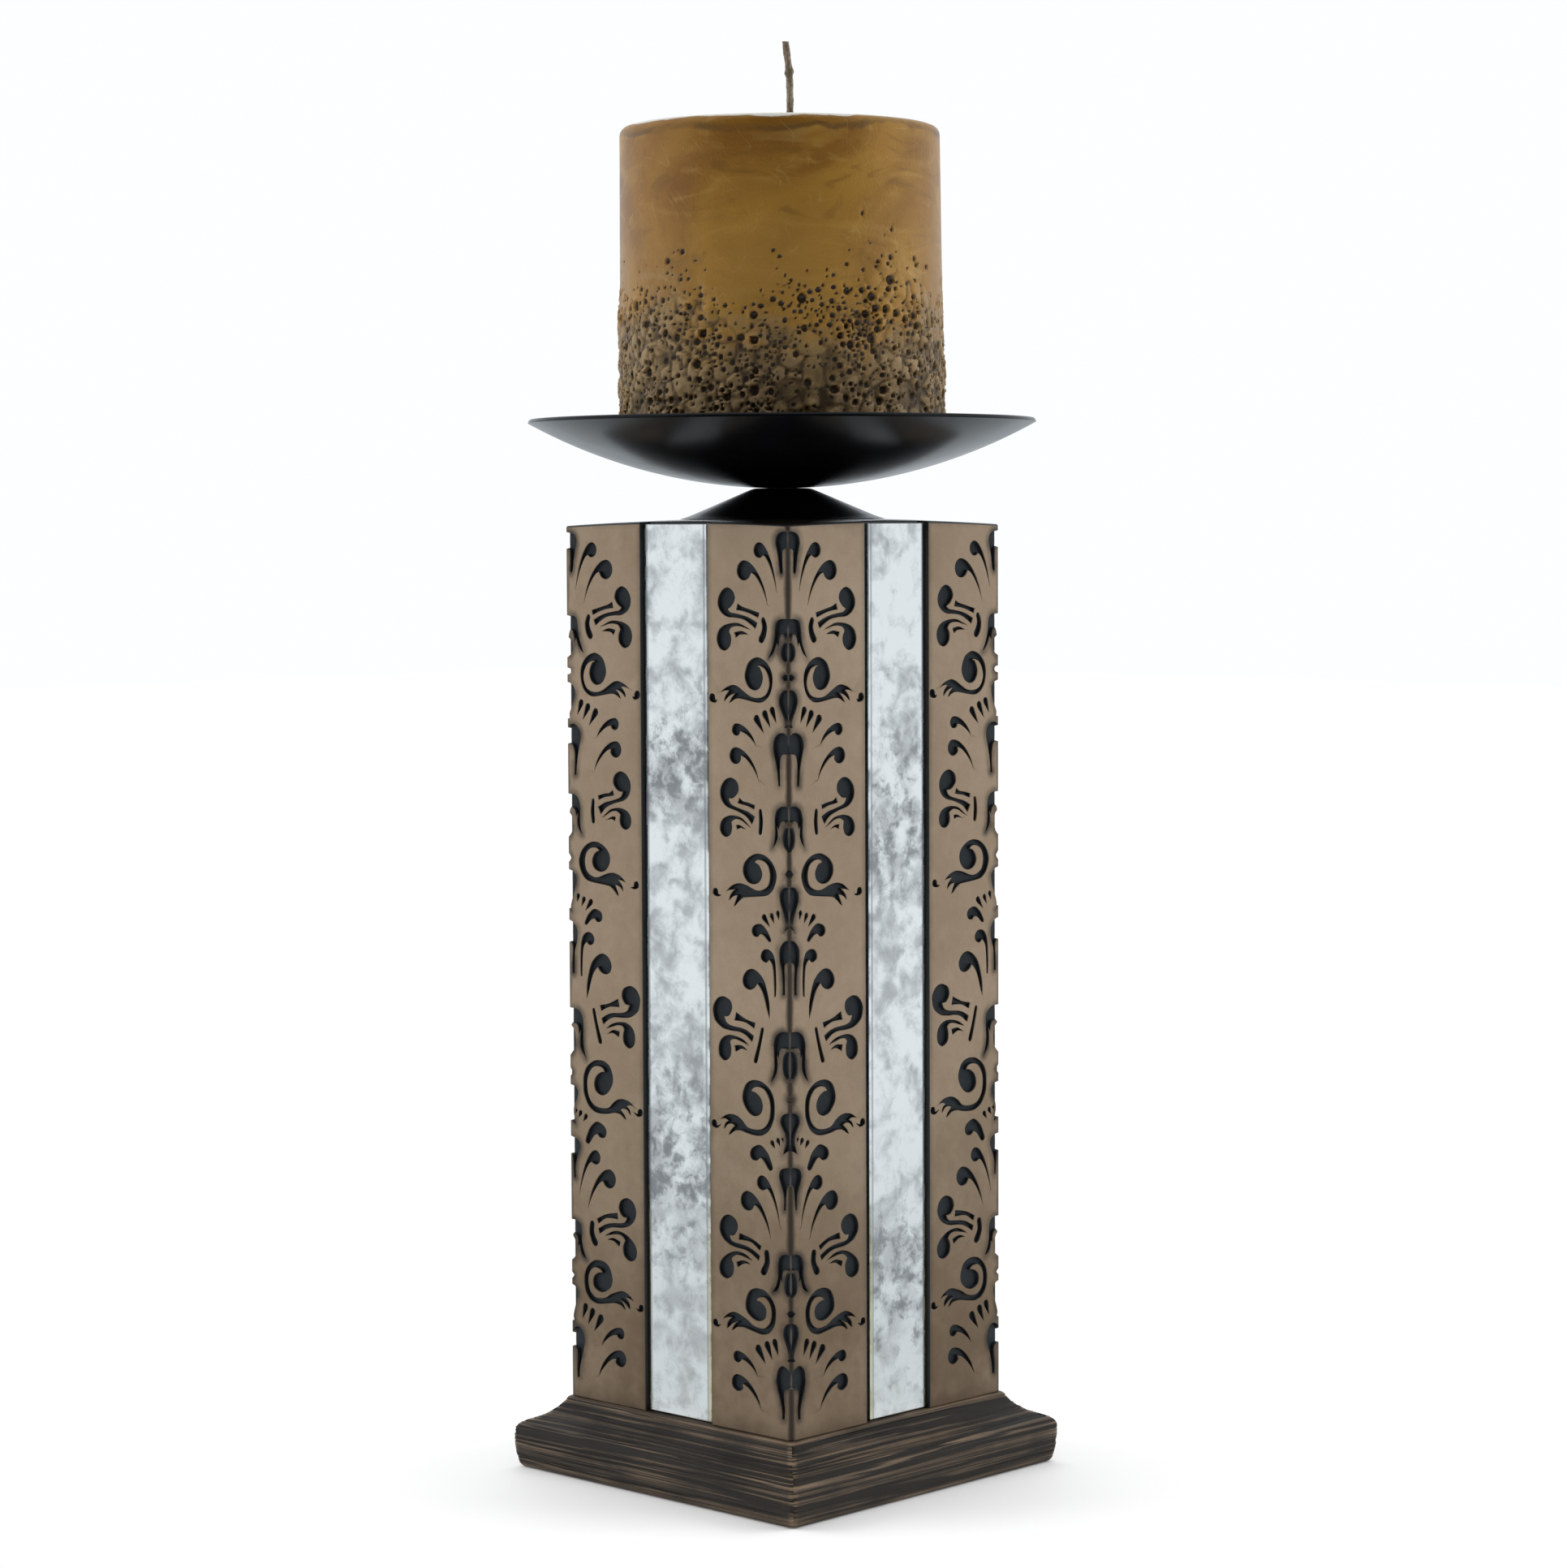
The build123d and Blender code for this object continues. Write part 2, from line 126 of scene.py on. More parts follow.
bpy.ops.mesh.primitive_plane_add(size=8, location=(0, 0, 0))
floor = bpy.context.object
floor.name = "floor"
table_white = bpy.data.materials.new("table white")
table_white.use_nodes = True
tree = table_white.node_tree
surface = tree.nodes["Principled BSDF"]
surface.inputs["Base Color"].default_value = (0.9, 0.9, 0.9, 1)
surface.inputs["Roughness"].default_value = 0.6
surface.inputs["Specular IOR Level"].default_value = 0.2
surface.inputs["Emission Color"].default_value = (1, 1, 1, 1)
seen = sees_room(tree)
tree.links.new(calc(tree, "MULTIPLY", seen, floor_glow), surface.inputs["Emission Strength"])
place = add_node(tree, "TexCoord").outputs["Object"]
away = add_node(tree, "VectorMath", {"operation": "LENGTH"}, {0: place}).outputs["Value"]
away = ramp(tree, away, white_from, white_to)
cool = mix(tree, add_node(tree, "LightPath").outputs["Is Glossy Ray"],
           (1, 1, 1, 1), (0.87, 0.945, 1, 1))
white = add_node(tree, "Emission", None, {"Color": cool, "Strength": 1.0})
blend = add_node(tree, "MixShader", None, {0: calc(tree, "MULTIPLY", seen, away)})
tree.links.new(surface.outputs[0], blend.inputs[1])
tree.links.new(white.outputs[0], blend.inputs[2])
tree.links.new(blend.outputs[0], tree.nodes["Material Output"].inputs["Surface"])
floor.data.materials.append(table_white)

for name, place, size, power in (
    ("left softbox", (-1.0, -0.72, 0.8), 0.9, 9.0),
    ("right softbox", (0.78, 0.95, 0.8), 0.9, 9.0),
    ("overhead softbox", (-0.2, 0.2, 1.4), 1.2, 6.0),
):
    lamp = bpy.data.objects.new(name, bpy.data.lights.new(name, "AREA"))
    bpy.context.scene.collection.objects.link(lamp)
    lamp.data.size = size
    lamp.visible_glossy = False
    lamp.data.energy = power
    lamp.location = place
    lamp.rotation_euler = (Vector((0, 0, 0.15)) - Vector(place)).to_track_quat("-Z", "Y").to_euler()

# Plinth: a cast resin base moulded like turned wood, with fine combed lines along its faces. It
# is dark brown, rubbed back to bronze on its edges, and the column stands on its flat top.
def new_group(name, inputs, outputs):
    """Node group with float inputs (name, value) and outputs (name, socket type)."""
    group = bpy.data.node_groups.new(name, "ShaderNodeTree")
    for label, value in inputs:
        socket = group.interface.new_socket(label, in_out="INPUT", socket_type="NodeSocketFloat")
        socket.default_value = value
    for label, kind in outputs:
        group.interface.new_socket(label, in_out="OUTPUT", socket_type=kind)
    return group, group.nodes.new("NodeGroupInput"), group.nodes.new("NodeGroupOutput")


def noise(tree, place, scale, detail, **more):
    """Plain noise, about 0.5 in the middle."""
    inputs = {"Vector": place, "Scale": scale, "Detail": detail, **{key.title(): more[key] for key in more}}
    return add_node(tree, "TexNoise", None, inputs).outputs["Fac"]


# Cloudiness: soft patches of two sizes, from 0 to 1, between the two limits
clouds, entry, leave = new_group(
    "clouds", [("Patches", 60.0), ("Grain", 700.0), ("Grain Share", 0.35), ("Low", 0.35), ("High", 0.65)],
    [("Mask", "NodeSocketFloat")])
place = add_node(clouds, "TexCoord").outputs["Object"]
big = noise(clouds, place, entry.outputs["Patches"], 4.0)
fine = noise(clouds, place, entry.outputs["Grain"], 3.0)
both = add_node(clouds, "Mix", {"data_type": "FLOAT"},
                {0: entry.outputs["Grain Share"], 2: big, 3: fine}).outputs[0]
clouds.links.new(ramp(clouds, both, entry.outputs["Low"], entry.outputs["High"]), leave.inputs["Mask"])


def cloud_mask(tree, patches, grain, share, low, high):
    used = tree.nodes.new("ShaderNodeGroup")
    used.node_tree = clouds
    for socket, value in zip(used.inputs, (patches, grain, share, low, high)):
        socket.default_value = value
    return used.outputs["Mask"]


def new_material(name, roughness, metallic=0.0):
    made = bpy.data.materials.new(name)
    made.use_nodes = True
    shader = made.node_tree.nodes["Principled BSDF"]
    shader.inputs["Roughness"].default_value = roughness
    shader.inputs["Metallic"].default_value = metallic
    return made, made.node_tree, shader


def link(tree, socket, shader, name):
    tree.links.new(socket, shader.inputs[name])


def two_tone(name, roughness, sizes, dark, light, metallic=0.0):
    """Material in a cloudy mix of two colours. Sizes are the patches, the grain and its share."""
    made, tree, shader = new_material(name, roughness, metallic)
    mask = cloud_mask(tree, *sizes, 0.3, 0.7)
    link(tree, mix(tree, mask, (*dark, 1), (*light, 1)), shader, "Base Color")
    return made, tree, shader


def place_parts(tree):
    """X, Y and Z of the point, in metres in the object's own frame."""
    place = add_node(tree, "TexCoord").outputs["Object"]
    return place, add_node(tree, "SeparateXYZ", None, {0: place}).outputs


plinth_profile = [  # half width and height, from the foot up
    (45.0, 0.2), (45.35, 0.45), (45.7, 1.0), (46.2, 3.3), (46.45, 5.6), (46.5, 6.6), (46.5, 8.9),
    (46.45, 9.3), (46.2, 9.85), (45.8, 10.3), (45.3, 10.75), (44.2, 11.25), (43.0, 11.75), (42.0, 12.2),
    (41.0, 12.75), (40.1, 13.45), (39.2, 14.2), (38.4, 15.1), (37.6, 16.1), (37.6, 16.4),
    (37.3, 16.75), (36.9, 17.0),
]
ring_step, groove_depth, groove_wide, groove_long = 0.27, 0.24, 0.5, 34.0
corner_round, side_cuts, long_edge = 1.5, 55, 10.0


def evenly(profile):
    """Even points along the profile."""
    points = [np.array(p) for p in profile]
    out = []
    for a, b in zip(points, points[1:]):
        steps = max(1, round(float(np.linalg.norm(b - a)) / ring_step))
        out += [a + (b - a) * i / steps for i in range(steps)]
    return np.array(out + [points[-1]])


bpy.ops.object.select_all(action="DESELECT")
rings = evenly(plinth_profile)
bpy.ops.mesh.primitive_plane_add(size=2 * rings[0][0] * mm, location=(0, 0, rings[0][1] * mm))
plinth = bpy.context.object
plinth.name = "moulded_plinth"
bpy.ops.object.transform_apply(location=True, rotation=True, scale=True)
bpy.ops.object.mode_set(mode="EDIT")
bpy.ops.mesh.select_all(action="SELECT")
bpy.ops.mesh.bevel(offset=corner_round * mm, affect="VERTICES", segments=4)
bpy.ops.object.mode_set(mode="OBJECT")
for edge in plinth.data.edges:
    a, b = (plinth.data.vertices[i].co for i in edge.vertices)
    edge.select = (a - b).length > long_edge * mm
bpy.ops.object.mode_set(mode="EDIT")
bpy.ops.mesh.select_mode(type="EDGE")
bpy.ops.mesh.subdivide(number_cuts=side_cuts)
bpy.ops.mesh.select_all(action="SELECT")
for (half, height), (next_half, next_height) in zip(rings, rings[1:]):
    bpy.ops.mesh.extrude_region_move(TRANSFORM_OT_translate={"value": (0, 0, (next_height - height) * mm)})
    grow = next_half / half
    bpy.ops.transform.resize(value=(grow, grow, 1), center_override=(0, 0, next_height * mm))
bpy.ops.mesh.select_all(action="DESELECT")
bpy.ops.mesh.select_non_manifold()
bpy.ops.mesh.edge_face_add()
felt_recess, felt_seat = 2.7, 2.0
bpy.ops.mesh.inset(thickness=felt_recess * mm)
bpy.ops.mesh.extrude_region_move(TRANSFORM_OT_translate={"value": (0, 0, (felt_seat - rings[0][1]) * mm)})
bpy.ops.mesh.select_all(action="SELECT")
bpy.ops.mesh.normals_make_consistent(inside=False)
bpy.ops.object.mode_set(mode="OBJECT")

# Grooves: uneven lines combed along each side, pressed into the moulded face
spots = np.empty(len(plinth.data.vertices) * 3)
plinth.data.vertices.foreach_get("co", spots)
spots = spots.reshape(-1, 3) / mm
which = np.clip(np.searchsorted(rings[:, 1] - 0.02, spots[:, 2]) - 1, 0, len(rings) - 1)
way = np.gradient(rings, axis=0)
way /= np.linalg.norm(way, axis=1)[:, None]
travelled = np.cumsum(np.r_[0, np.linalg.norm(np.diff(rings, axis=0), axis=1)])[which]
across_x = np.abs(spots[:, 0]) > np.abs(spots[:, 1])
along = np.where(across_x, spots[:, 1], spots[:, 0])
side = np.where(across_x, 0, 2) + (np.where(across_x, spots[:, 0], spots[:, 1]) > 0)
table = np.random.default_rng(4).random((4, 90, 8))
drift = (travelled + 0.22 * np.sin(along / 13 + side + travelled / 4)
         + 0.06 * np.sin(along / 3.3 + 2 * travelled))
row, column_place = (drift + 1) / groove_wide, along / groove_long + 3 + 0.37 * travelled % 1
i, j = row.astype(int), column_place.astype(int)
u, v = row - i, column_place - j
u, v = u * u * (3 - 2 * u), v * v * (3 - 2 * v)
value = (1 - u) * ((1 - v) * table[side, i, j] + v * table[side, i, j + 1]) + u * (
    (1 - v) * table[side, i + 1, j] + v * table[side, i + 1, j + 1])
groove = np.clip((value - 0.46) / 0.3, 0, 1)
groove *= np.clip((spots[:, 2] - 1.0) / 0.8, 0, 1) * np.clip((16.7 - spots[:, 2]) / 0.5, 0, 1)
groove[np.abs(along) > rings[which, 0] + 1] = 0
inward = np.where(across_x[:, None], [1, 0], [0, 1]) * np.sign(spots[:, :2])
inward = np.where((np.abs(np.abs(spots[:, 0]) - np.abs(spots[:, 1])) < corner_round)[:, None],
                  np.sign(spots[:, :2]) * 0.707, inward)
shift = groove_depth * groove * (travelled > 0)
spots[:, :2] -= inward * (way[which, 1] * shift)[:, None]
spots[:, 2] += np.minimum(way[which, 0], 0) * shift
plinth.data.vertices.foreach_set("co", (spots * mm).ravel())
plinth.data.attributes.new("groove", "FLOAT", "POINT").data.foreach_set("value", groove.astype(np.float32))
bpy.ops.object.shade_smooth_by_angle(angle=math.radians(40))

plinth_resin, tree, shader = new_material("dark combed resin", 0.5)
place, (px, py, pz) = place_parts(tree)
groove = add_node(tree, "Attribute", {"attribute_name": "groove"}).outputs["Fac"]
streaks = add_node(tree, "Mapping", None, {"Vector": place, "Scale": (16, 16, 2700)}).outputs[0]
streak = noise(tree, streaks, 1.0, 3.0, roughness=0.6)
wide = noise(tree, place, 70.0, 4.0)
ax, ay = calc(tree, "ABSOLUTE", px), calc(tree, "ABSOLUTE", py)
outer, inner = calc(tree, "MAXIMUM", ax, ay), calc(tree, "MINIMUM", ax, ay)
corner = ramp(tree, calc(tree, "SUBTRACT", outer, inner), 0.0022, 0.0004)
ridge = calc(tree, "MULTIPLY", ramp(tree, pz, 0.0082, 0.0094), ramp(tree, pz, 0.0118, 0.0102))
lip = calc(tree, "MULTIPLY", ramp(tree, pz, 0.0155, 0.0162), ramp(tree, outer, 0.0362, 0.0372))
foot = ramp(tree, pz, 0.0024, 0.0008)
worn = calc(tree, "MAXIMUM", calc(tree, "MULTIPLY", ridge, 0.55), corner)
worn = calc(tree, "MAXIMUM", worn, calc(tree, "MULTIPLY", lip, 0.5))
worn = calc(tree, "MAXIMUM", worn, calc(tree, "MULTIPLY", foot, 0.3))
rub = calc(tree, "MULTIPLY", ramp(tree, streak, 0.36, 0.62), ramp(tree, wide, 0.3, 0.62, 0.35, 1.0))
rub = calc(tree, "ADD", calc(tree, "MULTIPLY", rub, 0.42), calc(tree, "MULTIPLY", worn, 0.42), True)
rub = calc(tree, "MULTIPLY", rub, ramp(tree, groove, 0.0, 0.5, 1.0, 0.0))
thin = add_node(tree, "Mapping", None, {"Vector": place, "Scale": (30, 30, 4300)}).outputs[0]
thin = noise(tree, thin, 1.0, 2.0)
rub = calc(tree, "MULTIPLY", rub, ramp(tree, thin, 0.38, 0.58, 0.35, 1.25))
dark = mix(tree, wide, (0.008, 0.0065, 0.005, 1), (0.028, 0.021, 0.015, 1))
link(tree, mix(tree, rub, dark, (0.27, 0.185, 0.115, 1)), shader, "Base Color")
shader.inputs["Specular IOR Level"].default_value = 0.3
link(tree, ramp(tree, rub, 0, 1, 0.6, 0.4), shader, "Roughness")
threads = add_node(tree, "Mapping", None, {"Vector": place, "Scale": (40, 40, 5200)}).outputs[0]
thread = noise(tree, threads, 1.0, 2.0)
height = calc(tree, "ADD", streak, calc(tree, "MULTIPLY", thread, 0.7))
bump = add_node(tree, "Bump", None, {"Height": height, "Strength": 0.7, "Distance": 0.0003})
link(tree, bump.outputs[0], shader, "Normal")
plinth.data.materials.append(plinth_resin)
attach(plinth, "holder")
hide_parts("plinth")

# Felt pad: two-millimetre black wool felt, cut square with rounded corners and glued into the
# recess under the plinth, so that it takes the weight and spares the table.
felt_size, felt_thickness, felt_corner = 84.0, 2.0, 6.0
felt_gap, felt_soft = 0.02, 0.3
bpy.ops.object.select_all(action="DESELECT")
bpy.ops.mesh.primitive_cube_add(size=1, location=(0, 0, felt_thickness / 2 * mm))
felt = bpy.context.object
felt.name = "felt_sheet"
felt.scale = (felt_size * mm, felt_size * mm, (felt_thickness - felt_gap) * mm)
bpy.ops.object.transform_apply(location=True, rotation=True, scale=True)


def pick_edges(piece, wanted):
    """Open the active piece for editing, with the edges selected whose two ends pass the test."""
    bpy.ops.object.mode_set(mode="EDIT")
    bpy.ops.mesh.select_all(action="DESELECT")
    bpy.ops.object.mode_set(mode="OBJECT")
    for edge in piece.data.edges:
        edge.select = wanted(*(piece.data.vertices[i].co for i in edge.vertices))
    bpy.ops.object.mode_set(mode="EDIT")
    bpy.ops.mesh.select_mode(type="EDGE")


pick_edges(felt, lambda a, b: abs(a.z - b.z) > mm)
bpy.ops.mesh.bevel(offset=felt_corner * mm, segments=8)
bpy.ops.object.mode_set(mode="OBJECT")
soften = felt.modifiers.new("soft edge", "BEVEL")
soften.width, soften.segments, soften.limit_method = felt_soft * mm, 2, "ANGLE"
bpy.ops.object.modifier_apply(modifier=soften.name)
bpy.ops.object.shade_smooth_by_angle(angle=math.radians(35))
felt_black, tree, shader = two_tone(
    "black felt", 0.95, (400, 3000, 0.6), (0.012, 0.012, 0.013), (0.035, 0.035, 0.037))
shader.inputs["Sheen Weight"].default_value = 0.4
felt.data.materials.append(felt_black)
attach(felt, "holder")
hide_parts("felt_pad")

# Column: one cast resin block, hollow from below, with a channel for a mirror down every face.
# Scrolls and leaves are cut round each corner, washed dark in the cuts and rubbed back to a tan
# bronze on the flats. Each corner is drawn flat, as height against distance from the arris.
column_half, arris_radius, channel_half, channel_depth = 36.4, 1.0, 10.8, 3.1
column_foot, crown_height, crown_radius = 17.0, 226.55, 773.0
edge_round, cut_depth, cut_rim, cut_wall = 0.45, 0.85, 0.07, 0.16
hollow_half, hollow_corner, ceiling = 26.2, 12.0, 206.0
outlines = []


def outline(*points):
    """Closed smooth outline through points. A third value of 1 marks a corner."""
    path, count = [], len(points)
    for i, b in enumerate(points):
        c = points[(i + 1) % count]
        a = points[i - 1] if len(b) < 3 else b
        d = points[(i + 2) % count] if len(c) < 3 else c
        a, b, c, d = (np.array(p[:2], float) for p in (a, b, c, d))
        steps = max(1, min(8, round(float(np.linalg.norm(c - b)) / 0.42)))
        for t in np.arange(steps) / steps:
            path.append(0.5 * (2 * b + (c - a) * t + (2 * a - 5 * b + 4 * c - d) * t**2
                               + (3 * b - a - 3 * c + d) * t**3))
    path = np.array(path)
    after = np.roll(path, -1, 0)
    if np.sum(path[:, 0] * after[:, 1] - path[:, 1] * after[:, 0]) < 0:
        path = path[::-1]
    outlines.append(path)
    if path[:, 0].min() > 0:
        outlines.append((path * (-1, 1))[::-1])


def arc(u, z, r, start, end):
    steps = max(2, int(math.radians(end - start) * r / 0.9) + 1)
    angles = [math.radians(start + (end - start) * i / steps) for i in range(steps + 1)]
    return [(u + r * math.cos(a), z + r * math.sin(a)) for a in angles]


def curve(p0, p1, p2, p3, steps=6):
    fractions = [i / steps for i in range(1, steps)]
    return [tuple((1 - t)**3 * a + 3 * (1 - t)**2 * t * b + 3 * (1 - t) * t * t * c + t**3 * d
                  for a, b, c, d in zip(p0, p1, p2, p3)) for t in fractions]


def comma(u, z, r, tip, notch):
    """Round head whose tail leaves its top and tapers down to the tip."""
    start = math.degrees(math.atan2(notch[1] - z, notch[0] - u)) % 360
    w, h = u - tip[0], z + r - tip[1]
    back = curve((u, z + r), (u - 0.42 * w, z + r), (tip[0] + 0.1 * w, tip[1] + 0.5 * h), tip)
    w, h = notch[0] - tip[0], notch[1] - tip[1]
    belly = curve(tip, (tip[0] + 0.18 * w, tip[1] + 0.45 * h), (notch[0] - 0.3 * w, notch[1]), notch)
    outline((*notch, 1), *arc(u, z, r, start + 25, 450), *back, (*tip, 1), *belly)


def drop(u, z, r, tip):
    """Round head that narrows straight to its tip."""
    turn = math.atan2(z - tip[1], u - tip[0])
    side = (-0.6 * r * math.sin(turn), 0.6 * r * math.cos(turn))
    middle = (0.45 * tip[0] + 0.55 * u, 0.45 * tip[1] + 0.55 * z)
    turn = math.degrees(turn)
    outline((*tip, 1), (middle[0] - side[0], middle[1] - side[1]), *arc(u, z, r, turn - 90, turn + 90),
            (middle[0] + side[0], middle[1] + side[1]))


def curl(u, z, r, tip):
    """Small round head with a hooked tail at its foot."""
    head = ((1, 0), (0.7, 0.75), (0, 1), (-0.75, 0.7), (-1, 0), (-1.05, -0.55))
    foot = ((-1.2, -1.2), (-0.1, -1.15), (0.75, -0.75))
    head, foot = ([(u + a * r, z + b * r) for a, b in part] for part in (head, foot))
    outline(*head, (*tip, 1), *foot)


def bar(*knots, round_ends=False):
    """Bar along (distance, height, half width) knots."""
    spine = np.array([k[:2] for k in knots], float)
    along = np.gradient(spine, axis=0)
    along /= np.linalg.norm(along, axis=1)[:, None]
    side = np.stack([-along[:, 1], along[:, 0]], 1) * np.array([k[2] for k in knots])[:, None]
    left, right = [tuple(p) for p in spine + side], [tuple(p) for p in (spine - side)[::-1]]
    if not round_ends:
        for side_line in (left, right):
            side_line[0], side_line[-1] = side_line[0] + (1,), side_line[-1] + (1,)
        outline(*left, *right)
        return
    turns = (0.7, 0.0, -0.7)
    far = [tuple(spine[-1] + along[-1] * knots[-1][2] * math.cos(b) + side[-1] * math.sin(b))
           for b in turns]
    near = [tuple(spine[0] - along[0] * knots[0][2] * math.cos(b) - side[0] * math.sin(b))
            for b in turns]
    outline(*left, *far, *right, *near)


def bell(*half):
    """Figure across the arris, from its right half, top to bottom."""
    outline(*half, *[(-p[0], *p[1:]) for p in half[::-1] if p[0] > 0])


def scroll(gap, head, band, tail, upper, inner):
    """Band that runs round its own head and out to a leaf of three points."""
    outline((*gap, 1), *head, *band, *tail, *upper[::-1], *inner[::-1])


# Figures: tiers of plumes, bells, scrolls and leaves from the top down, no two tiers quite alike
bell(
    (0, 223.35), (1.8, 223.35), (3.4, 222.6), (3.95, 221.2), (3.6, 219.6), (3.1, 217.4),
    (2.6, 214.4, 1), (2.15, 213.8), (1.75, 214.3, 1), (1.8, 217), (1.75, 219.2, 1), (1.2, 219.5),
    (0, 219.5)
)
comma(9.02, 219.25, 1.75, (3.62, 209.9), (7.87, 218.1))
comma(13.82, 214.65, 2.25, (6.42, 206.8), (11.57, 214.1))
outline(
    (19.02, 205.8, 1), (17.67, 206.7), (16.72, 208.3), (17.37, 209.9), (19.07, 210.75), (20.82, 210.1),
    (22.07, 208.3), (22.07, 206.5), (20.97, 205), (19.07, 204.1), (16.57, 203.95), (13.87, 203.5),
    (11.57, 202.35), (10.32, 201.5, 1), (9.67, 202.8, 1), (11.57, 203.7), (13.87, 204.4),
    (16.57, 204.85), (18.17, 205.1)
)
bar((9.22, 204.55, 0.58), (12.27, 205.45, 0.42), (14.67, 206, 0.48), (16.12, 206.4, 0.78))
bar((7.87, 203.5, 0.62), (7.42, 202, 0.75), (7.77, 200.3, 0.85), (8.47, 199.1, 0.85), round_ends=True)
outline(
    (18.62, 200.7, 1), (17.97, 199.4), (18.27, 197.6), (19.87, 196.4), (21.67, 197), (22.57, 198.9),
    (22.07, 200.8), (20.57, 202), (18.17, 202.6), (15.67, 202.65), (13.67, 202), (11.67, 201.15, 1),
    (13.27, 201.55), (15.17, 202), (17.07, 201.95), (18.17, 201.5)
)
outline((12.52, 200.2, 1), (14.67, 200.9), (16.97, 200.55, 1), (16.42, 199.35, 1), (15.17, 200.1))
bell(
    (0, 203.75), (2.4, 203.75), (3.7, 203.1), (4.15, 201.7), (4.3, 200), (4.7, 198.2), (5.4, 196.5),
    (6.25, 194.9, 1), (4.9, 196), (3.95, 197.7), (3.6, 198.6, 1), (3.15, 197.6, 1), (2.9, 199),
    (2.4, 200.2), (1.6, 200.4, 1), (1.25, 199.6), (1, 198.6, 1), (2.1, 197.6), (2.35, 196.1),
    (1.8, 194.6), (0, 193.85)
)
bell((0, 191.35), (1.3, 191.3), (2, 190.65, 1), (1.3, 189.9), (0, 189.8))
bell(
    (0, 188), (1.6, 187.7), (2.85, 186.6), (3, 184.9), (2.3, 183), (1.6, 181.6), (1.15, 180.5),
    (1.3, 179.35, 1), (0, 179.35)
)
scroll(
    gap=(9.87, 193), head=[(8.87, 192.6), (8.02, 190.5), (8.87, 188.3), (10.57, 187.55),
    (12.57, 188.3), (13.72, 190.4), (13.37, 192.4), (12.27, 194.1), (9.87, 195.05)],
    band=[(7.27, 194.2), (5.47, 192.2), (5.02, 189.8), (5.67, 187.1), (7.27, 185.4), (9.57, 184.8)],
    tail=[(14.47, 185.5), (15.97, 185.6), (17.17, 185.3), (18.07, 184.75), (18.67, 184.5, 1),
    (18.17, 185.4), (17.57, 186.1), (16.87, 186.7, 1), (17.97, 186.4), (18.97, 185.9), (19.67, 185.3),
    (20.27, 184.8, 1), (20.17, 185.6), (19.67, 186.4), (18.77, 187.3, 1), (19.87, 187.35),
    (20.67, 187.1), (21.47, 186.85, 1)], upper=[(11.87, 186.1), (14.17, 187.3), (15.97, 188.3),
    (17.57, 188.6), (19.47, 188.1), (20.57, 187.5)], inner=[(9.07, 193.15), (7.37, 192.4),
    (6.27, 190.6), (6.12, 188.6), (7.27, 186.6), (9.47, 185.85)]
)
curl(24.12, 185.6, 0.95, (22.47, 185.2))
drop(5.17, 183.25, 0.78, (3.87, 180.3))
drop(7.47, 182.35, 0.82, (5.72, 179.2))
drop(10.07, 181.15, 0.88, (7.77, 177.9))
comma(16.47, 178.5, 1.4, (10.37, 175), (15.27, 178.1))
comma(16.77, 172.55, 1.9, (9.47, 167.1), (15.17, 172.6))
bell(
    (0, 177.2, 1), (1.6, 178.1), (3.3, 177.9), (4.6, 176.7), (4.9, 174.8), (4.3, 172.2), (3.7, 169.6),
    (3.3, 166.1, 1), (2.75, 166.1, 1), (2.85, 169.5), (2.75, 171.6), (2.2, 173.1), (1, 173.4),
    (0, 173.4)
)

outline(
    (19.02, 162.7, 1), (17.42, 162.95), (15.92, 164.5), (16.22, 166.4), (18.12, 167.45),
    (20.12, 166.9), (21.52, 165.3), (21.72, 163.5), (21.02, 161.9), (19.42, 160.7), (16.12, 159.85),
    (13.42, 158.75), (11.67, 157.1, 1), (10.72, 158.85, 1), (12.92, 159.9), (15.62, 160.55),
    (18.22, 161.4)
)
bar((10.82, 161, 0.5), (12.92, 161.6, 0.4), (14.72, 161.9, 0.4), (15.92, 162.4, 0.7))
bar((9.02, 160.3, 0.45), (8.82, 157.8, 0.6), (9.07, 155.3, 0.5), round_ends=True)
outline(
    (18.17, 157.4, 1), (17.97, 156), (18.52, 154.5), (20.02, 153.85), (21.42, 154.6), (21.87, 156),
    (21.42, 157.4), (20.12, 158.4), (17.92, 158.85), (15.22, 158.5), (13.52, 157.5), (12.02, 156.3, 1),
    (13.62, 157.1), (15.12, 157.9), (16.92, 158.1)
)
outline((13.52, 155.8, 1), (15.22, 156.65), (16.67, 156.75, 1), (16.42, 155.7, 1), (15.22, 156.15))
bell(
    (0, 161.5), (2.4, 161.5), (3.9, 160.6), (4.5, 159), (4.5, 157.2), (4.45, 155.2), (4.7, 153.5),
    (5.25, 152, 1), (4.2, 153.2), (3.6, 154.7), (3.65, 156.2), (3.75, 157.1, 1), (3.25, 156.35, 1),
    (2.9, 157.5), (2.3, 158.2), (1.5, 158.3, 1), (1.1, 157.8), (0.9, 157, 1), (1.7, 156.2), (2, 154.3),
    (1.5, 152.2), (0, 151.2)
)
bell((0, 147.25), (0.8, 147.1), (1.4, 146.3, 1), (0.8, 145.5), (0, 145.35))

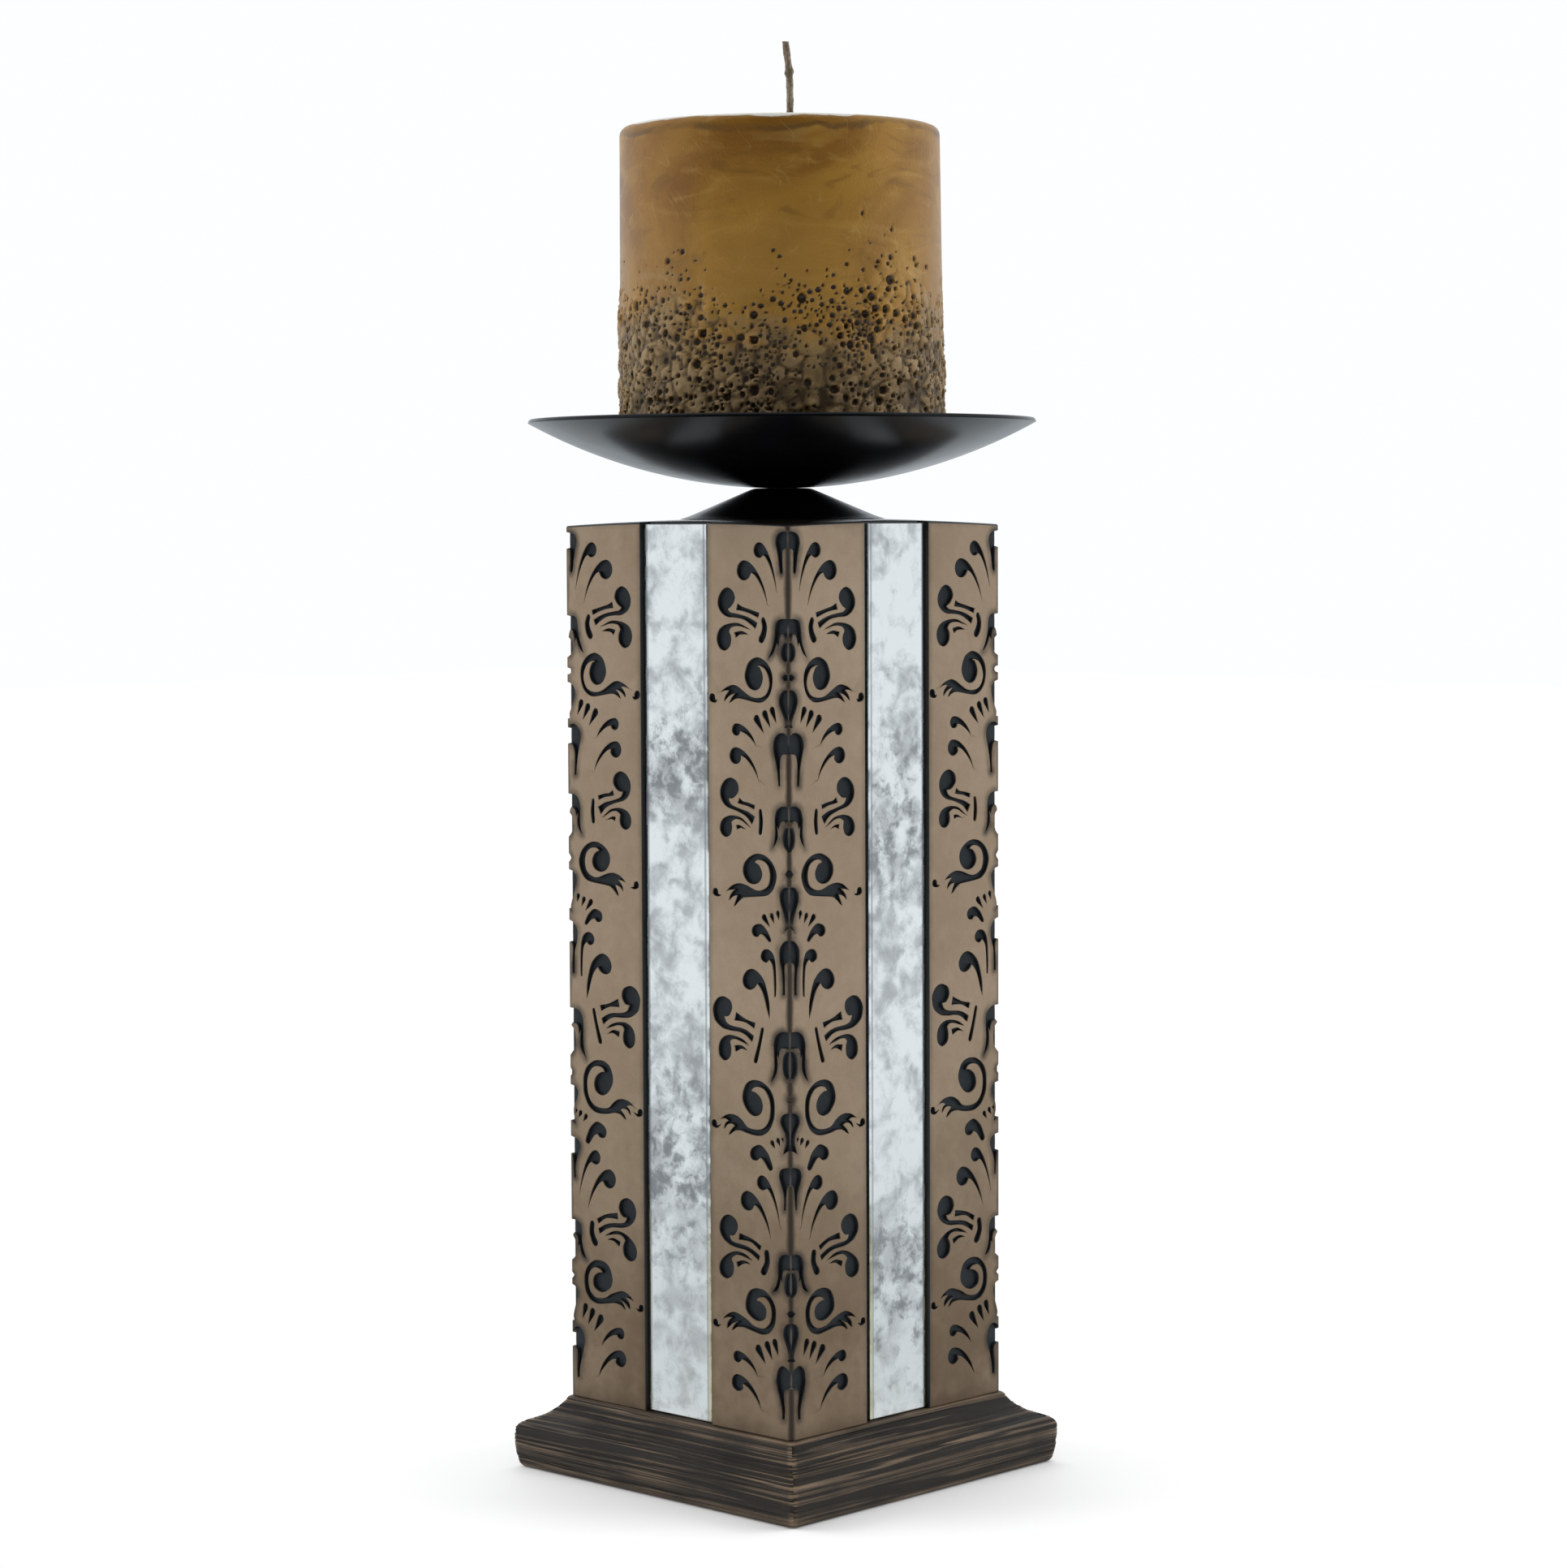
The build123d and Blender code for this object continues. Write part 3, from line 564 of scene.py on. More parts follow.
scroll(
    gap=(10.9, 148.5), head=[(9.5, 147.9), (8.55, 146.3), (8.8, 144.9), (9.8, 143.9), (11.5, 143.5),
    (13.3, 144.1), (14.5, 145.8), (14.4, 147.8), (12.8, 149.5), (10.2, 150.5)], band=[(7.4, 150.1),
    (5.1, 148.4), (4, 145.9), (4.7, 143.3), (6.1, 141.7), (7.9, 141)], tail=[(13.6, 140.4),
    (14.8, 140.1), (16.1, 139.2), (16.8, 138.5), (17.5, 138.1, 1), (17.25, 138.9), (16.7, 140),
    (16.4, 140.7, 1), (17, 140.6), (17.7, 140.4), (18.4, 139.9), (19.1, 139.3, 1), (18.8, 140.4),
    (18.1, 141.3), (17.2, 142, 1), (18.7, 141.8), (19.9, 141.45, 1)], upper=[(13.3, 143.1),
    (14.8, 143.4), (15.9, 143.45), (17.2, 143.2), (18.5, 142.6)], inner=[(10, 149.1), (8.3, 149),
    (6.7, 147.9), (6.1, 145.8), (6.7, 143.5), (8.6, 142.3), (10.6, 142.2)]
)
curl(23.4, 141.1, 0.85, (21.5, 140.45))
bell(
    (0, 143.5), (1.9, 143.1), (3, 142), (3.1, 140.9), (2.8, 139.4), (2.3, 138.2), (1.5, 136.2),
    (1.1, 134.7), (1.3, 133.9), (1.85, 133.15, 1), (0.9, 133.9), (0, 134.2)
)
drop(3.7, 137.5, 0.55, (3.3, 135.8))
drop(5.65, 136.8, 0.6, (4.8, 134.9))
drop(8, 136.2, 0.7, (6.1, 134))

bar((10.5, 132.9, 1.4), (9.1, 133.4, 1.15), (7.6, 132.6, 0.8), (6.3, 131.1, 0.5), round_ends=True)
bell(
    (0, 131.4), (1.8, 131), (3.1, 129.5), (3.3, 127.8), (3.1, 126.2), (2.5, 124.5), (2.25, 122),
    (2.2, 118.9, 1), (1.6, 118.9, 1), (1.6, 122), (1.7, 124.6), (1.5, 125.8), (0.9, 126.2), (0, 126.2)
)
outline(
    (6.6, 126.6, 1), (7, 126.05), (7.8, 125.9), (8.85, 126.5), (9.1, 127.5), (8.4, 128.6), (7, 128.95),
    (5.6, 128.4), (4.75, 127), (4.4, 124.8), (4.25, 121), (4.4, 118.3, 1), (4.9, 118.3, 1),
    (4.95, 121), (5.2, 124.4), (5.7, 125.9)
)
outline(
    (10.2, 120.9, 1), (11.2, 119.8), (12.8, 119.3), (14.3, 119.9), (14.9, 121.4), (14.3, 122.9),
    (13, 123.9), (11.4, 124.1), (9.5, 123.2), (7.9, 121.4), (6.9, 118.6), (6.4, 116), (6.4, 113.1, 1),
    (7.2, 115.2), (7.9, 117.4), (8.8, 119.4)
)

outline(
    (20.78, 112.6, 1), (19.28, 112.9), (18.28, 114.6), (18.78, 116.3), (20.98, 117.15), (22.98, 116.6),
    (24.28, 114.9), (24.38, 113.3), (23.68, 111.4), (21.48, 109.95), (18.98, 109.5), (15.98, 109.4),
    (13.98, 108.8), (11.98, 107.4, 1), (11.38, 108.8, 1), (13.28, 109.8), (15.18, 110.3),
    (18.28, 110.6), (19.98, 111.2)
)
bar((11.08, 111.2, 0.7), (13.98, 112.1, 0.4), (17.28, 112.9, 1))
bar((8.68, 110.6, 0.45), (9.68, 106.9, 0.5), (10.88, 103.2, 0.6), round_ends=True)
outline(
    (18.98, 106.9, 1), (18.58, 105.3), (18.98, 103.4), (20.68, 102.4), (22.28, 103.3), (22.68, 105),
    (22.28, 106.6), (21.18, 107.75), (19.38, 108.4), (17.08, 108.3), (14.78, 107.7), (12.88, 106.5, 1),
    (14.98, 107.1), (16.98, 107.6), (18.38, 107.5)
)
outline((13.28, 105.2, 1), (15.18, 106.3), (17.53, 106.15, 1), (17.18, 104.75, 1), (15.18, 105.6))
bell(
    (0, 110.5), (2.6, 110.4), (4.4, 109.4), (5.1, 107.6), (5.1, 105.5), (5, 103.5), (5.05, 102),
    (5.4, 100.4), (6.05, 98.8, 1), (4.85, 100.1), (4.1, 101.7), (4, 103.5), (4.1, 105.3, 1),
    (3.6, 104.4, 1), (3.4, 105.8), (2.9, 106.7), (1.9, 106.8, 1), (1.4, 106.8), (0.9, 106.3, 1),
    (2, 105.2), (2.4, 103), (1.9, 100.6), (0, 99.1)
)
bell((0, 96.1), (0.75, 95.9), (1.35, 95.1, 1), (0.75, 94.3), (0, 94.1))

scroll(
    gap=(12.25, 96.1), head=[(10.95, 95.9), (9.35, 94.8), (8.65, 93), (9.35, 91.2), (11.25, 90.45),
    (13.25, 91.2), (14.85, 93.3), (15.05, 95.3), (14.05, 97.5), (12.45, 98.5), (10.75, 98.75)],
    band=[(8.55, 98.4), (6.35, 97), (5.25, 95.2), (4.95, 93.2), (5.15, 90.5), (6.55, 87.8),
    (8.35, 86.5), (10.35, 86.05)], tail=[(13.35, 86.25), (15.45, 86.7), (17.15, 86.6), (18.05, 86.2),
    (18.95, 85.6), (19.55, 85.4, 1), (19.05, 86.3), (18.25, 87.1), (17.65, 87.6, 1), (18.15, 87.9),
    (18.95, 88), (19.95, 87.7), (20.45, 87.1), (21.1, 86.6, 1), (20.85, 87.6), (20.35, 88.2),
    (19.65, 88.6, 1), (20.55, 89), (21.45, 88.95), (22.35, 88.65, 1)], upper=[(13.45, 87.7),
    (15.15, 89.1), (16.75, 89.95), (18.35, 90.2), (20.15, 89.95), (21.45, 89.3)], inner=[(11.65, 96.9),
    (9.95, 97.3), (8.05, 96.7), (6.65, 94.8), (6.3, 92.5), (6.85, 89.8), (8.45, 88), (10.75, 87.4)]
)
curl(24.2, 87.6, 0.85, (21.9, 87.6))
bell(
    (0, 92.1), (1.9, 91.8), (3.1, 90.8), (3, 89.4), (2.3, 88.2), (1.7, 87.1), (1.55, 85.5), (1.9, 84),
    (2.3, 82.6, 1), (1.1, 83.3), (0, 83.5)
)
drop(2.55, 86.3, 0.4, (2.25, 85.3))
drop(3.95, 85.7, 0.6, (3.25, 84.4))
drop(5.8, 85, 0.6, (4.85, 83.6))

bar(
    (11.18, 81.8, 1.6), (9.58, 82.5, 1.5), (7.98, 81.6, 1.15), (6.98, 80.2, 0.95), (6.38, 79.2, 0.8),
    round_ends=True
)
bell(
    (0, 79.7), (2, 79.4), (3.3, 78.8), (3.7, 77.5), (3.2, 76), (2.6, 74.7), (2.1, 72.9),
    (2.1, 69.9, 1), (1.7, 69.9, 1), (1.5, 72.5), (1.25, 74.6), (0.9, 75.4), (0, 75.5)
)
comma(8.93, 75.4, 1.7, (3.38, 65.8), (7.58, 74.2))
comma(13.58, 70.75, 2.25, (6.28, 62.8), (11.53, 70))

outline(
    (19.42, 62.1, 1), (17.87, 62.4), (16.77, 64.2), (17.47, 66), (19.67, 66.85), (21.57, 66.1),
    (22.57, 64.4), (22.47, 62.6), (21.07, 60.8), (18.37, 59.7), (14.47, 59.3), (12.17, 58.5),
    (10.22, 57.3, 1), (9.77, 58.5, 1), (12.17, 59.7), (14.47, 60.3), (17.97, 60.7), (18.97, 61.2)
)
bar((9.57, 60.25, 0.6), (12.57, 61.75, 0.45), (16.42, 62.2, 0.75))
bar((7.67, 59.4, 0.75), (7.47, 57.5, 0.8), (8.07, 55.9, 0.85), (8.67, 55, 0.9), round_ends=True)
outline(
    (18.87, 56.7, 1), (18.12, 55.1), (18.57, 53), (20.47, 51.95), (22.27, 52.7), (22.82, 54.4),
    (22.27, 55.9), (20.87, 57.2), (18.97, 58.2), (16.77, 58.65), (14.47, 58.3), (11.97, 57, 1),
    (14.47, 57.6), (16.67, 57.9), (18.07, 57.5)
)
outline((12.77, 56.2, 1), (14.87, 56.8), (17.27, 56.2, 1), (16.87, 55, 1), (14.87, 56.1))
bell(
    (0, 59.7), (2.2, 59.6), (3.6, 58.8), (4.1, 57.2), (4.05, 55.2), (4.3, 53.6), (4.9, 52),
    (5.7, 50.7, 1), (4.5, 51.2), (3.7, 52.3), (3.3, 54, 1), (2.8, 53.5, 1), (2.75, 55), (2.3, 56),
    (1.4, 56.3, 1), (1.2, 56.1), (0.9, 55.9, 1), (1.8, 54.6), (2.1, 52.2), (1.6, 50.5), (0, 49.85)
)
bell((0, 46.95), (0.8, 46.8), (1.4, 46.2, 1), (0.8, 45.6), (0, 45.45))

scroll(
    gap=(11, 48.1), head=[(9.5, 47.8), (8.2, 46.9), (7.8, 45.7), (8.4, 44.1), (10.6, 43.35),
    (12.8, 44.1), (14.2, 45.5), (14.4, 47.4), (13.5, 49.6), (12, 50.6), (10.4, 50.9)],
    band=[(8.2, 50.6), (6.2, 49.2), (5.1, 47.5), (4.8, 45.7), (5.2, 43.2), (6.6, 41.3), (8.2, 40.6),
    (9.8, 40.45)], tail=[(12.6, 40.9), (14.9, 41.3), (16.6, 41.2), (17.6, 40.9), (18.4, 40.3),
    (18.9, 40.2, 1), (18.5, 40.9), (17.8, 41.8), (16.8, 42.4, 1), (18, 42), (19, 41.5), (19.7, 40.9),
    (20.4, 40.4, 1), (20.3, 41.6), (19.6, 42.5), (18.8, 43.1, 1), (19.6, 43.1), (20.6, 42.9),
    (21.6, 42.5, 1)], upper=[(12.1, 42.2), (13.8, 43.2), (15.6, 43.9), (17.6, 44.45), (19.2, 44.2),
    (20.7, 43.4)], inner=[(10.2, 48.8), (8.3, 49), (6.75, 47.8), (6.2, 45.7), (6.75, 43.4), (8.3, 42),
    (10, 41.8)]
)
curl(24.15, 41.3, 0.8, (22.4, 41.05))
bell(
    (0, 44), (1.5, 43.7), (2.45, 42.5), (2.4, 40.9), (1.7, 39), (1.1, 37.2), (0.95, 36.3),
    (1.3, 35.3, 1), (0, 35.2)
)
drop(5.2, 39.2, 0.8, (4.1, 36.2))
drop(7.6, 38.3, 0.85, (6, 35))
drop(10.4, 37, 0.95, (8.1, 33.7))
comma(17.05, 34.25, 1.35, (10.7, 30.6), (15.8, 33.8))
bell(
    (0, 32.4, 1), (1.3, 33.6), (2.9, 34), (4.3, 32.9), (4.8, 30.7), (4.4, 28.7), (3.7, 26.6),
    (3.05, 24.2), (2.95, 21.8, 1), (2.25, 21.8, 1), (2.15, 24.2), (2.4, 26.8), (2.2, 28.4), (1.2, 29),
    (0, 29)
)
comma(17, 28.2, 1.95, (9.55, 22.9), (15.6, 28.1))


def depth_inside(points):
    """Distance of each flat point inside the outlines, less than nothing outside them."""
    inside = np.full(len(points), -9.0)
    for path in outlines:
        near = np.where(((points > path.min(0) - 0.3) & (points < path.max(0) + 0.3)).all(1))[0]
        p, along = points[near][:, None], np.roll(path, -1, 0) - path
        share = np.clip(((p - path) * along).sum(2) / (along**2).sum(1), 0, 1)
        gap = np.linalg.norm(p - path - along * share[..., None], axis=2).min(1)
        rise = np.where(np.abs(along[:, 1]) < 1e-9, 1e-9, along[:, 1])
        level = (path[:, 1] <= p[..., 1]) != (path[:, 1] + along[:, 1] <= p[..., 1])
        crossed = level & (p[..., 0] < path[:, 0] + (p[..., 1] - path[:, 1]) * along[:, 0] / rise)
        inside[near] = np.maximum(inside[near], np.where(crossed.sum(1) % 2 == 1, gap, -gap))
    return inside


def in_loop(loop, points):
    """Which points lie inside a closed loop."""
    x, y = points[:, None, 0], points[:, None, 1]
    after = np.roll(loop, -1, 0)
    rise = np.where(loop[:, 1] == after[:, 1], 1e-9, after[:, 1] - loop[:, 1])
    level = (loop[:, 1] <= y) != (after[:, 1] <= y)
    return (level & (x < loop[:, 0] + (y - loop[:, 1]) * (after[:, 0] - loop[:, 0]) / rise)).sum(1) % 2 == 1


def fill(loops, lines=(), dots=()):
    """Triangles that fill the loops, with open lines and loose points worked in."""
    points, edges = [], []
    for path, closed in [(p, True) for p in loops] + [(p, False) for p in lines]:
        first = len(points)
        points += [tuple(p) for p in path]
        edges += [(i, i + 1) for i in range(first, len(points) - 1)]
        edges += [(len(points) - 1, first)] if closed else []
    points += [tuple(p) for p in dots]
    found = delaunay_2d_cdt([Vector(p) for p in points], edges, [], 0, 1e-5)
    flat = np.array([tuple(p) for p in found[0]])
    faces = np.array([tuple(f) for f in found[2]])
    middle = flat[faces].mean(1)
    return flat, faces, middle


def unrolled(u):
    """Distance along the surface from the arris, for a distance along the face."""
    u = np.asarray(u, float)
    bent = np.clip(u, -arris_radius, arris_radius)
    return bent * math.pi / 4 + u - bent


def wrapped(s):
    """Place and outward direction, seen from above, of a distance along the corner's surface."""
    s = np.asarray(s, float)
    turn = np.clip(s / arris_radius, -math.pi / 4, math.pi / 4) - math.pi / 4
    normal = np.stack([np.cos(turn), np.sin(turn)], -1)
    beyond = s - arris_radius * (turn + math.pi / 4)
    spot = (column_half - arris_radius) * np.array((1, -1)) + arris_radius * normal
    return spot + np.stack([np.minimum(beyond, 0), np.maximum(beyond, 0)], -1), normal


def crown(x, y):
    return crown_height - crown_radius + np.sqrt(crown_radius**2 - x**2 - y**2)


# Cuts: the outlines' rims, walls and floors, as rings set in and out from each outline
outlines = [np.stack([unrolled(path[:, 0]), path[:, 1]], 1) for path in outlines]
rims, walls, floors, loose = [], [], [], []
for path in outlines:
    way = np.roll(path, -1, 0) - np.roll(path, 1, 0)
    out = np.stack([way[:, 1], -way[:, 0]], 1) / np.linalg.norm(way, axis=1)[:, None]
    rims.append(path + out * cut_rim)
    walls.append(path)
    reach = np.zeros(len(path))
    for step in (0.05, 0.09, 0.13, cut_wall + 0.02):
        fits = depth_inside(path - out * step) > 0.93 * step
        reach = np.where(fits, step, reach)
    foot = path - out * reach[:, None]
    whole = reach > cut_wall
    run = []
    for i in range(len(path) + 1):
        if i < len(path) and whole[i]:
            run.append(foot[i])
            continue
        if len(run) > 1:
            floors.append(np.array(run + ([foot[0]] if i == len(path) and whole[0] else [])))
        elif run:
            loose.append(run[0])
        run = []
        if i < len(path) and reach[i] > 0:
            loose.append(foot[i])

channel_round, foot_round, levels = 0.3, 0.3, 44
rib_points, band_half, band_step, band_rise, halo_reach = 130, 6.5, 1.0, 1.2, 2.3
panel_end = float(unrolled(column_half - channel_half - channel_round))
bend = arris_radius * math.pi / 4
columns = np.concatenate([np.linspace(-panel_end, -bend, 16)[:-1], np.linspace(-bend, bend, 5),
                          np.linspace(bend, panel_end, 16)[1:]])
panel_low = column_foot + foot_round
spot, _ = wrapped(columns)
panel_tops = crown(spot[:, 0], spot[:, 1]) - edge_round


def rise_to(top):
    return panel_low + (top - panel_low) * np.arange(levels + 1) / levels


boundary = np.array(
    [(s, panel_low) for s in columns] + [(panel_end, z) for z in rise_to(panel_tops[-1])[1:-1]]
    + [(s, z) for s, z in zip(columns[::-1], panel_tops[::-1])]
    + [(-panel_end, z) for z in rise_to(panel_tops[0])[-2:0:-1]])
ribs = [np.stack([np.full(rib_points, s), np.linspace(panel_low, top, rib_points)], 1)
        for s, top in zip(columns, panel_tops) if abs(s) < bend + 0.01]
arris_cuts = [path for path in outlines if path[:, 0].min() < 0 < path[:, 0].max()]


def arris_gap(points):
    """Distance of each flat point from the nearest figure on the arris."""
    gap = np.full(len(points), 9.0)
    for path in arris_cuts:
        near = np.where((np.abs(points[:, 1] - path[:, 1].mean()) < np.ptp(path[:, 1]) / 2 + 3)
                        & (np.abs(points[:, 0]) < 9))[0]
        p, run = points[near][:, None], np.roll(path, -1, 0) - path
        share = np.clip(((p - path) * run).sum(2) / (run**2).sum(1), 0, 1)
        apart = np.linalg.norm(p - path - run * share[..., None], axis=2).min(1)
        gap[near] = np.minimum(gap[near], apart)
    return gap


band = np.stack(np.meshgrid(np.arange(-band_half, band_half + 0.1, band_step),
                            np.arange(panel_low + 1, 225, band_rise)), -1).reshape(-1, 2)
band += np.random.default_rng(3).uniform(-0.3, 0.3, band.shape)
band = band[(depth_inside(band) < -0.28) & (np.abs(np.abs(band[:, 0]) - bend / 2) > bend)]
flat, faces, middle = fill([boundary] + rims + walls, ribs + floors, loose + list(band))
faces = faces[in_loop(boundary, middle)]
inside = depth_inside(flat)
cut = np.interp(inside, (-cut_rim + 0.003, 0.0, cut_wall, 0.8), (0, 0.1, cut_depth, cut_depth - 0.03))
spot, normal = wrapped(flat[:, 0])
spot = spot - normal * cut[:, None]
corner_points = np.column_stack([spot, flat[:, 1]])
halo = np.clip(1 - arris_gap(flat) / halo_reach, 0, 1)

# The rest of the casting, gathered as points and faces: (material, points, faces, cut, halo)
parts = []


def turned(points, quarter):
    c, s = ((1, 0), (0, 1), (-1, 0), (0, -1))[quarter]
    points = np.array(points, float)
    return np.column_stack(
        [points[:, 0] * c - points[:, 1] * s, points[:, 0] * s + points[:, 1] * c, points[:, 2:]])


def sheet_between(rows, material, closed=False):
    """Quads between rows of points, each row running the same way."""
    rows = [np.asarray(r, float) for r in rows]
    count = len(rows[0])
    quads = []
    for i in range(len(rows) - 1):
        for j in range(count if closed else count - 1):
            k = (j + 1) % count
            quads.append((i * count + j, i * count + k, (i + 1) * count + k, (i + 1) * count + j))
    parts.append((material, np.concatenate(rows), quads, 0.0, 0.0))


rounding = [math.radians(a) for a in (30, 60)]
inner_face = column_half - channel_depth
channel = [  # place, and direction to set the edges in by
    *[((column_half - channel_round * (1 - math.cos(a)), -channel_half - channel_round * (1 - math.sin(a))),
       (math.cos(a), math.sin(a))) for a in rounding],
    ((column_half - channel_round, -channel_half), (0, 1)),
    ((inner_face, -channel_half), (1, 1)), ((inner_face, 0), (1, 0)), ((inner_face, channel_half), (1, -1)),
    ((column_half - channel_round, channel_half), (0, -1)),
    *[((column_half - channel_round * (1 - math.cos(a)), channel_half + channel_round * (1 - math.sin(a))),
       (math.cos(a), -math.sin(a))) for a in rounding[::-1]],
]
ends = wrapped(np.array([panel_end, -panel_end]))
first, last = ends[0][0], turned([(*ends[0][1], 0)], 1)[0][:2]
last_way = turned([(*ends[1][1], 0)], 1)[0][:2]
channel = [(tuple(first), tuple(ends[1][0])), *channel, (tuple(last), tuple(last_way))]
outside, inward = [], []
for quarter in range(4):
    parts.append((0, turned(corner_points, quarter), faces.tolist(), cut / cut_depth, halo))
    spots = turned([(*p, *n) for p, n in channel], quarter)
    way = turned([(*n, 0) for p, n in channel], quarter)[:, :2]
    tops = crown(spots[:, 0], spots[:, 1]) - edge_round
    stack = [np.column_stack([spots[:, :2], np.array([rise_to(t)[k] for t in tops])])
             for k in range(levels + 1)]
    sheet_between(stack, 1)
    panel_spots, panel_normals = wrapped(columns)
    outside += [turned(np.column_stack([panel_spots, panel_normals]), quarter)[:, :2], spots[1:-1, :2]]
    inward += [turned(np.column_stack([panel_normals, panel_normals]), quarter)[:, :2], way[1:-1]]
outside, inward = np.concatenate(outside), np.concatenate(inward)
tops = crown(outside[:, 0], outside[:, 1]) - edge_round
lip, toe = [], []
for a in (math.radians(d) for d in (0, 30, 60, 90)):
    spread = outside - inward * edge_round * (1 - math.cos(a))
    lip.append(np.column_stack([spread, tops + edge_round * math.sin(a)]))
    spread = outside - inward * foot_round * (1 - math.cos(a))
    toe.append(np.column_stack([spread, np.full(len(spread), panel_low - foot_round * math.sin(a))]))
place = np.abs(lip[-1][:, :2])
folded = (place.max(1) > column_half - 1) & (np.abs(place.min(1) - channel_half - channel_round / 2) < 0.5)
sharp = column_half - edge_round, channel_half + edge_round  # where the inset corner of the channel meets
lip[-1][folded, :2] = np.sign(lip[-1][folded, :2]) * np.where(place[folded] > 20, *sharp)
lip[-1][folded, 2] = crown(*sharp)
sheet_between(lip, 2, closed=True)
sheet_between(toe[::-1], 0, closed=True)


def ring(radius, count, centre=(0, 0)):
    angles = np.arange(count) * 2 * math.pi / count
    return np.column_stack([centre[0] + radius * np.cos(angles), centre[1] + radius * np.sin(angles)])


def cap(outer, holes, height, material, down=False, dots=()):
    """Flat or crowned face with holes in it."""
    flat, faces, middle = fill([outer] + holes, dots=dots)
    keep = in_loop(outer, middle)
    for hole in holes:
        keep &= ~in_loop(hole, middle)
    faces = faces[keep][:, ::-1] if down else faces[keep]
    z = height(flat[:, 0], flat[:, 1]) if callable(height) else np.full(len(flat), height)
    parts.append((material, np.column_stack([flat, z]), faces.tolist(), 0.0, 0.0))


def bore(loop, low, high, material=3):
    """Wall of a hole that runs up into the casting."""
    rows = [np.column_stack([loop, np.full(len(loop), z)]) for z in (low, high)]
    sheet_between(rows[::-1], material, closed=True)


grid = [(x, y) for x in np.arange(-33, 34, 6.0) for y in np.arange(-33, 34, 6.0)]
rim_loop, foot_loop = lip[-1][:, :2], toe[-1][:, :2]
rim_height = {(round(x, 4), round(y, 4)): z for x, y, z in lip[-1]}
seat, shank = ring(4.5, 32), ring(3.05, 32)
inside_grid = [p for p in grid if in_loop(rim_loop * 0.97, np.array([p]))[0] and math.hypot(*p) > 7]


def crown_surface(x, y):
    return np.array([rim_height.get((round(a, 4), round(b, 4)), float(crown(a, b))) for a, b in zip(x, y)])


cap(rim_loop, [seat], crown_surface, 2, dots=inside_grid)
corner_in = hollow_half - hollow_corner
hollow = np.array([
    p for quarter, (x, y) in enumerate(((1, 1), (-1, 1), (-1, -1), (1, -1)))
    for p in arc(x * corner_in, y * corner_in, hollow_corner, 90 * quarter, 90 * quarter + 90)])
pilots = [ring(1.8, 16, (x, y)) for x in (-28, 28) for y in (-28, 28)]
seat_depth, pilot_depth = 213.0, 31.0
cap(foot_loop, [hollow, *pilots], column_foot, 0, down=True)
bore(hollow, column_foot, ceiling)
cap(hollow, [shank], ceiling, 3, down=True)
bore(shank, ceiling, seat_depth)
cap(seat, [shank], seat_depth, 3)
sheet_between([np.column_stack([seat, crown(*seat.T)]),
               np.column_stack([seat, np.full(len(seat), seat_depth)])], 3, closed=True)
for pilot in pilots:
    bore(pilot, column_foot, pilot_depth)
    cap(pilot, [], pilot_depth, 3, down=True)


def open_mesh(name, points, edges, faces, marks=(), finishes=None):
    """New piece, opened for editing with everything selected. Marks are values kept at the points."""
    mesh = bpy.data.meshes.new(name)
    mesh.from_pydata((np.asarray(points, float) * mm).tolist(), edges, faces)
    if finishes is not None:
        mesh.polygons.foreach_set("material_index", finishes)
    for label, values in marks:
        values = np.asarray(values, np.float32)
        mesh.attributes.new(label, "FLOAT", "POINT").data.foreach_set("value", values)
    piece = bpy.data.objects.new(name, mesh)
    bpy.context.scene.collection.objects.link(piece)
    bpy.ops.object.select_all(action="DESELECT")
    bpy.context.view_layer.objects.active = piece
    piece.select_set(True)
    bpy.ops.object.mode_set(mode="EDIT")
    bpy.ops.mesh.select_all(action="SELECT")
    return piece


def close_mesh(smooth_to):
    """Turn the normals outward, leave editing, and smooth edges up to an angle in degrees."""
    bpy.ops.mesh.select_all(action="SELECT")
    bpy.ops.mesh.normals_make_consistent(inside=False)
    bpy.ops.object.mode_set(mode="OBJECT")
    bpy.ops.object.shade_smooth_by_angle(angle=math.radians(smooth_to))


starts = np.cumsum([0] + [len(part[1]) for part in parts])
column = open_mesh(
    "carved_column", np.concatenate([part[1] for part in parts]), [],
    [tuple(i + first for i in face) for first, part in zip(starts, parts) for face in part[2]],
    [(label, np.concatenate([np.broadcast_to(part[k], len(part[1])) for part in parts]))
     for label, k in (("cut", 3), ("halo", 4))],
    [part[0] for part in parts for _ in part[2]])
bpy.ops.mesh.remove_doubles(threshold=0.003 * mm)
bpy.ops.mesh.dissolve_degenerate(threshold=0.002 * mm)
close_mesh(32)

column_bronze, tree, shader = new_material("tan bronze resin", 0.42)
place, (px, py, pz) = place_parts(tree)
ax, ay = calc(tree, "ABSOLUTE", px), calc(tree, "ABSOLUTE", py)
inner = calc(tree, "MINIMUM", ax, ay)
from_arris = calc(tree, "SUBTRACT", column_half * mm, inner)
carved = add_node(tree, "Attribute", {"attribute_name": "cut"}).outputs["Fac"]
patches = cloud_mask(tree, 28, 260, 0.3, 0.3, 0.7)
grain = cloud_mask(tree, 420, 2400, 0.5, 0.25, 0.75)
tan = mix(tree, patches, (0.280, 0.205, 0.136, 1), (0.348, 0.262, 0.180, 1))
tan = mix(tree, calc(tree, "MULTIPLY", grain, 0.4), tan, (0.235, 0.163, 0.102, 1))
low = calc(tree, "MULTIPLY", ramp(tree, pz, 0.125, 0.022), 0.8)
low = calc(tree, "MULTIPLY", low, ramp(tree, patches, 0, 1, 1, 0.6))
tan = mix(tree, low, tan, (0.112, 0.071, 0.036, 1))
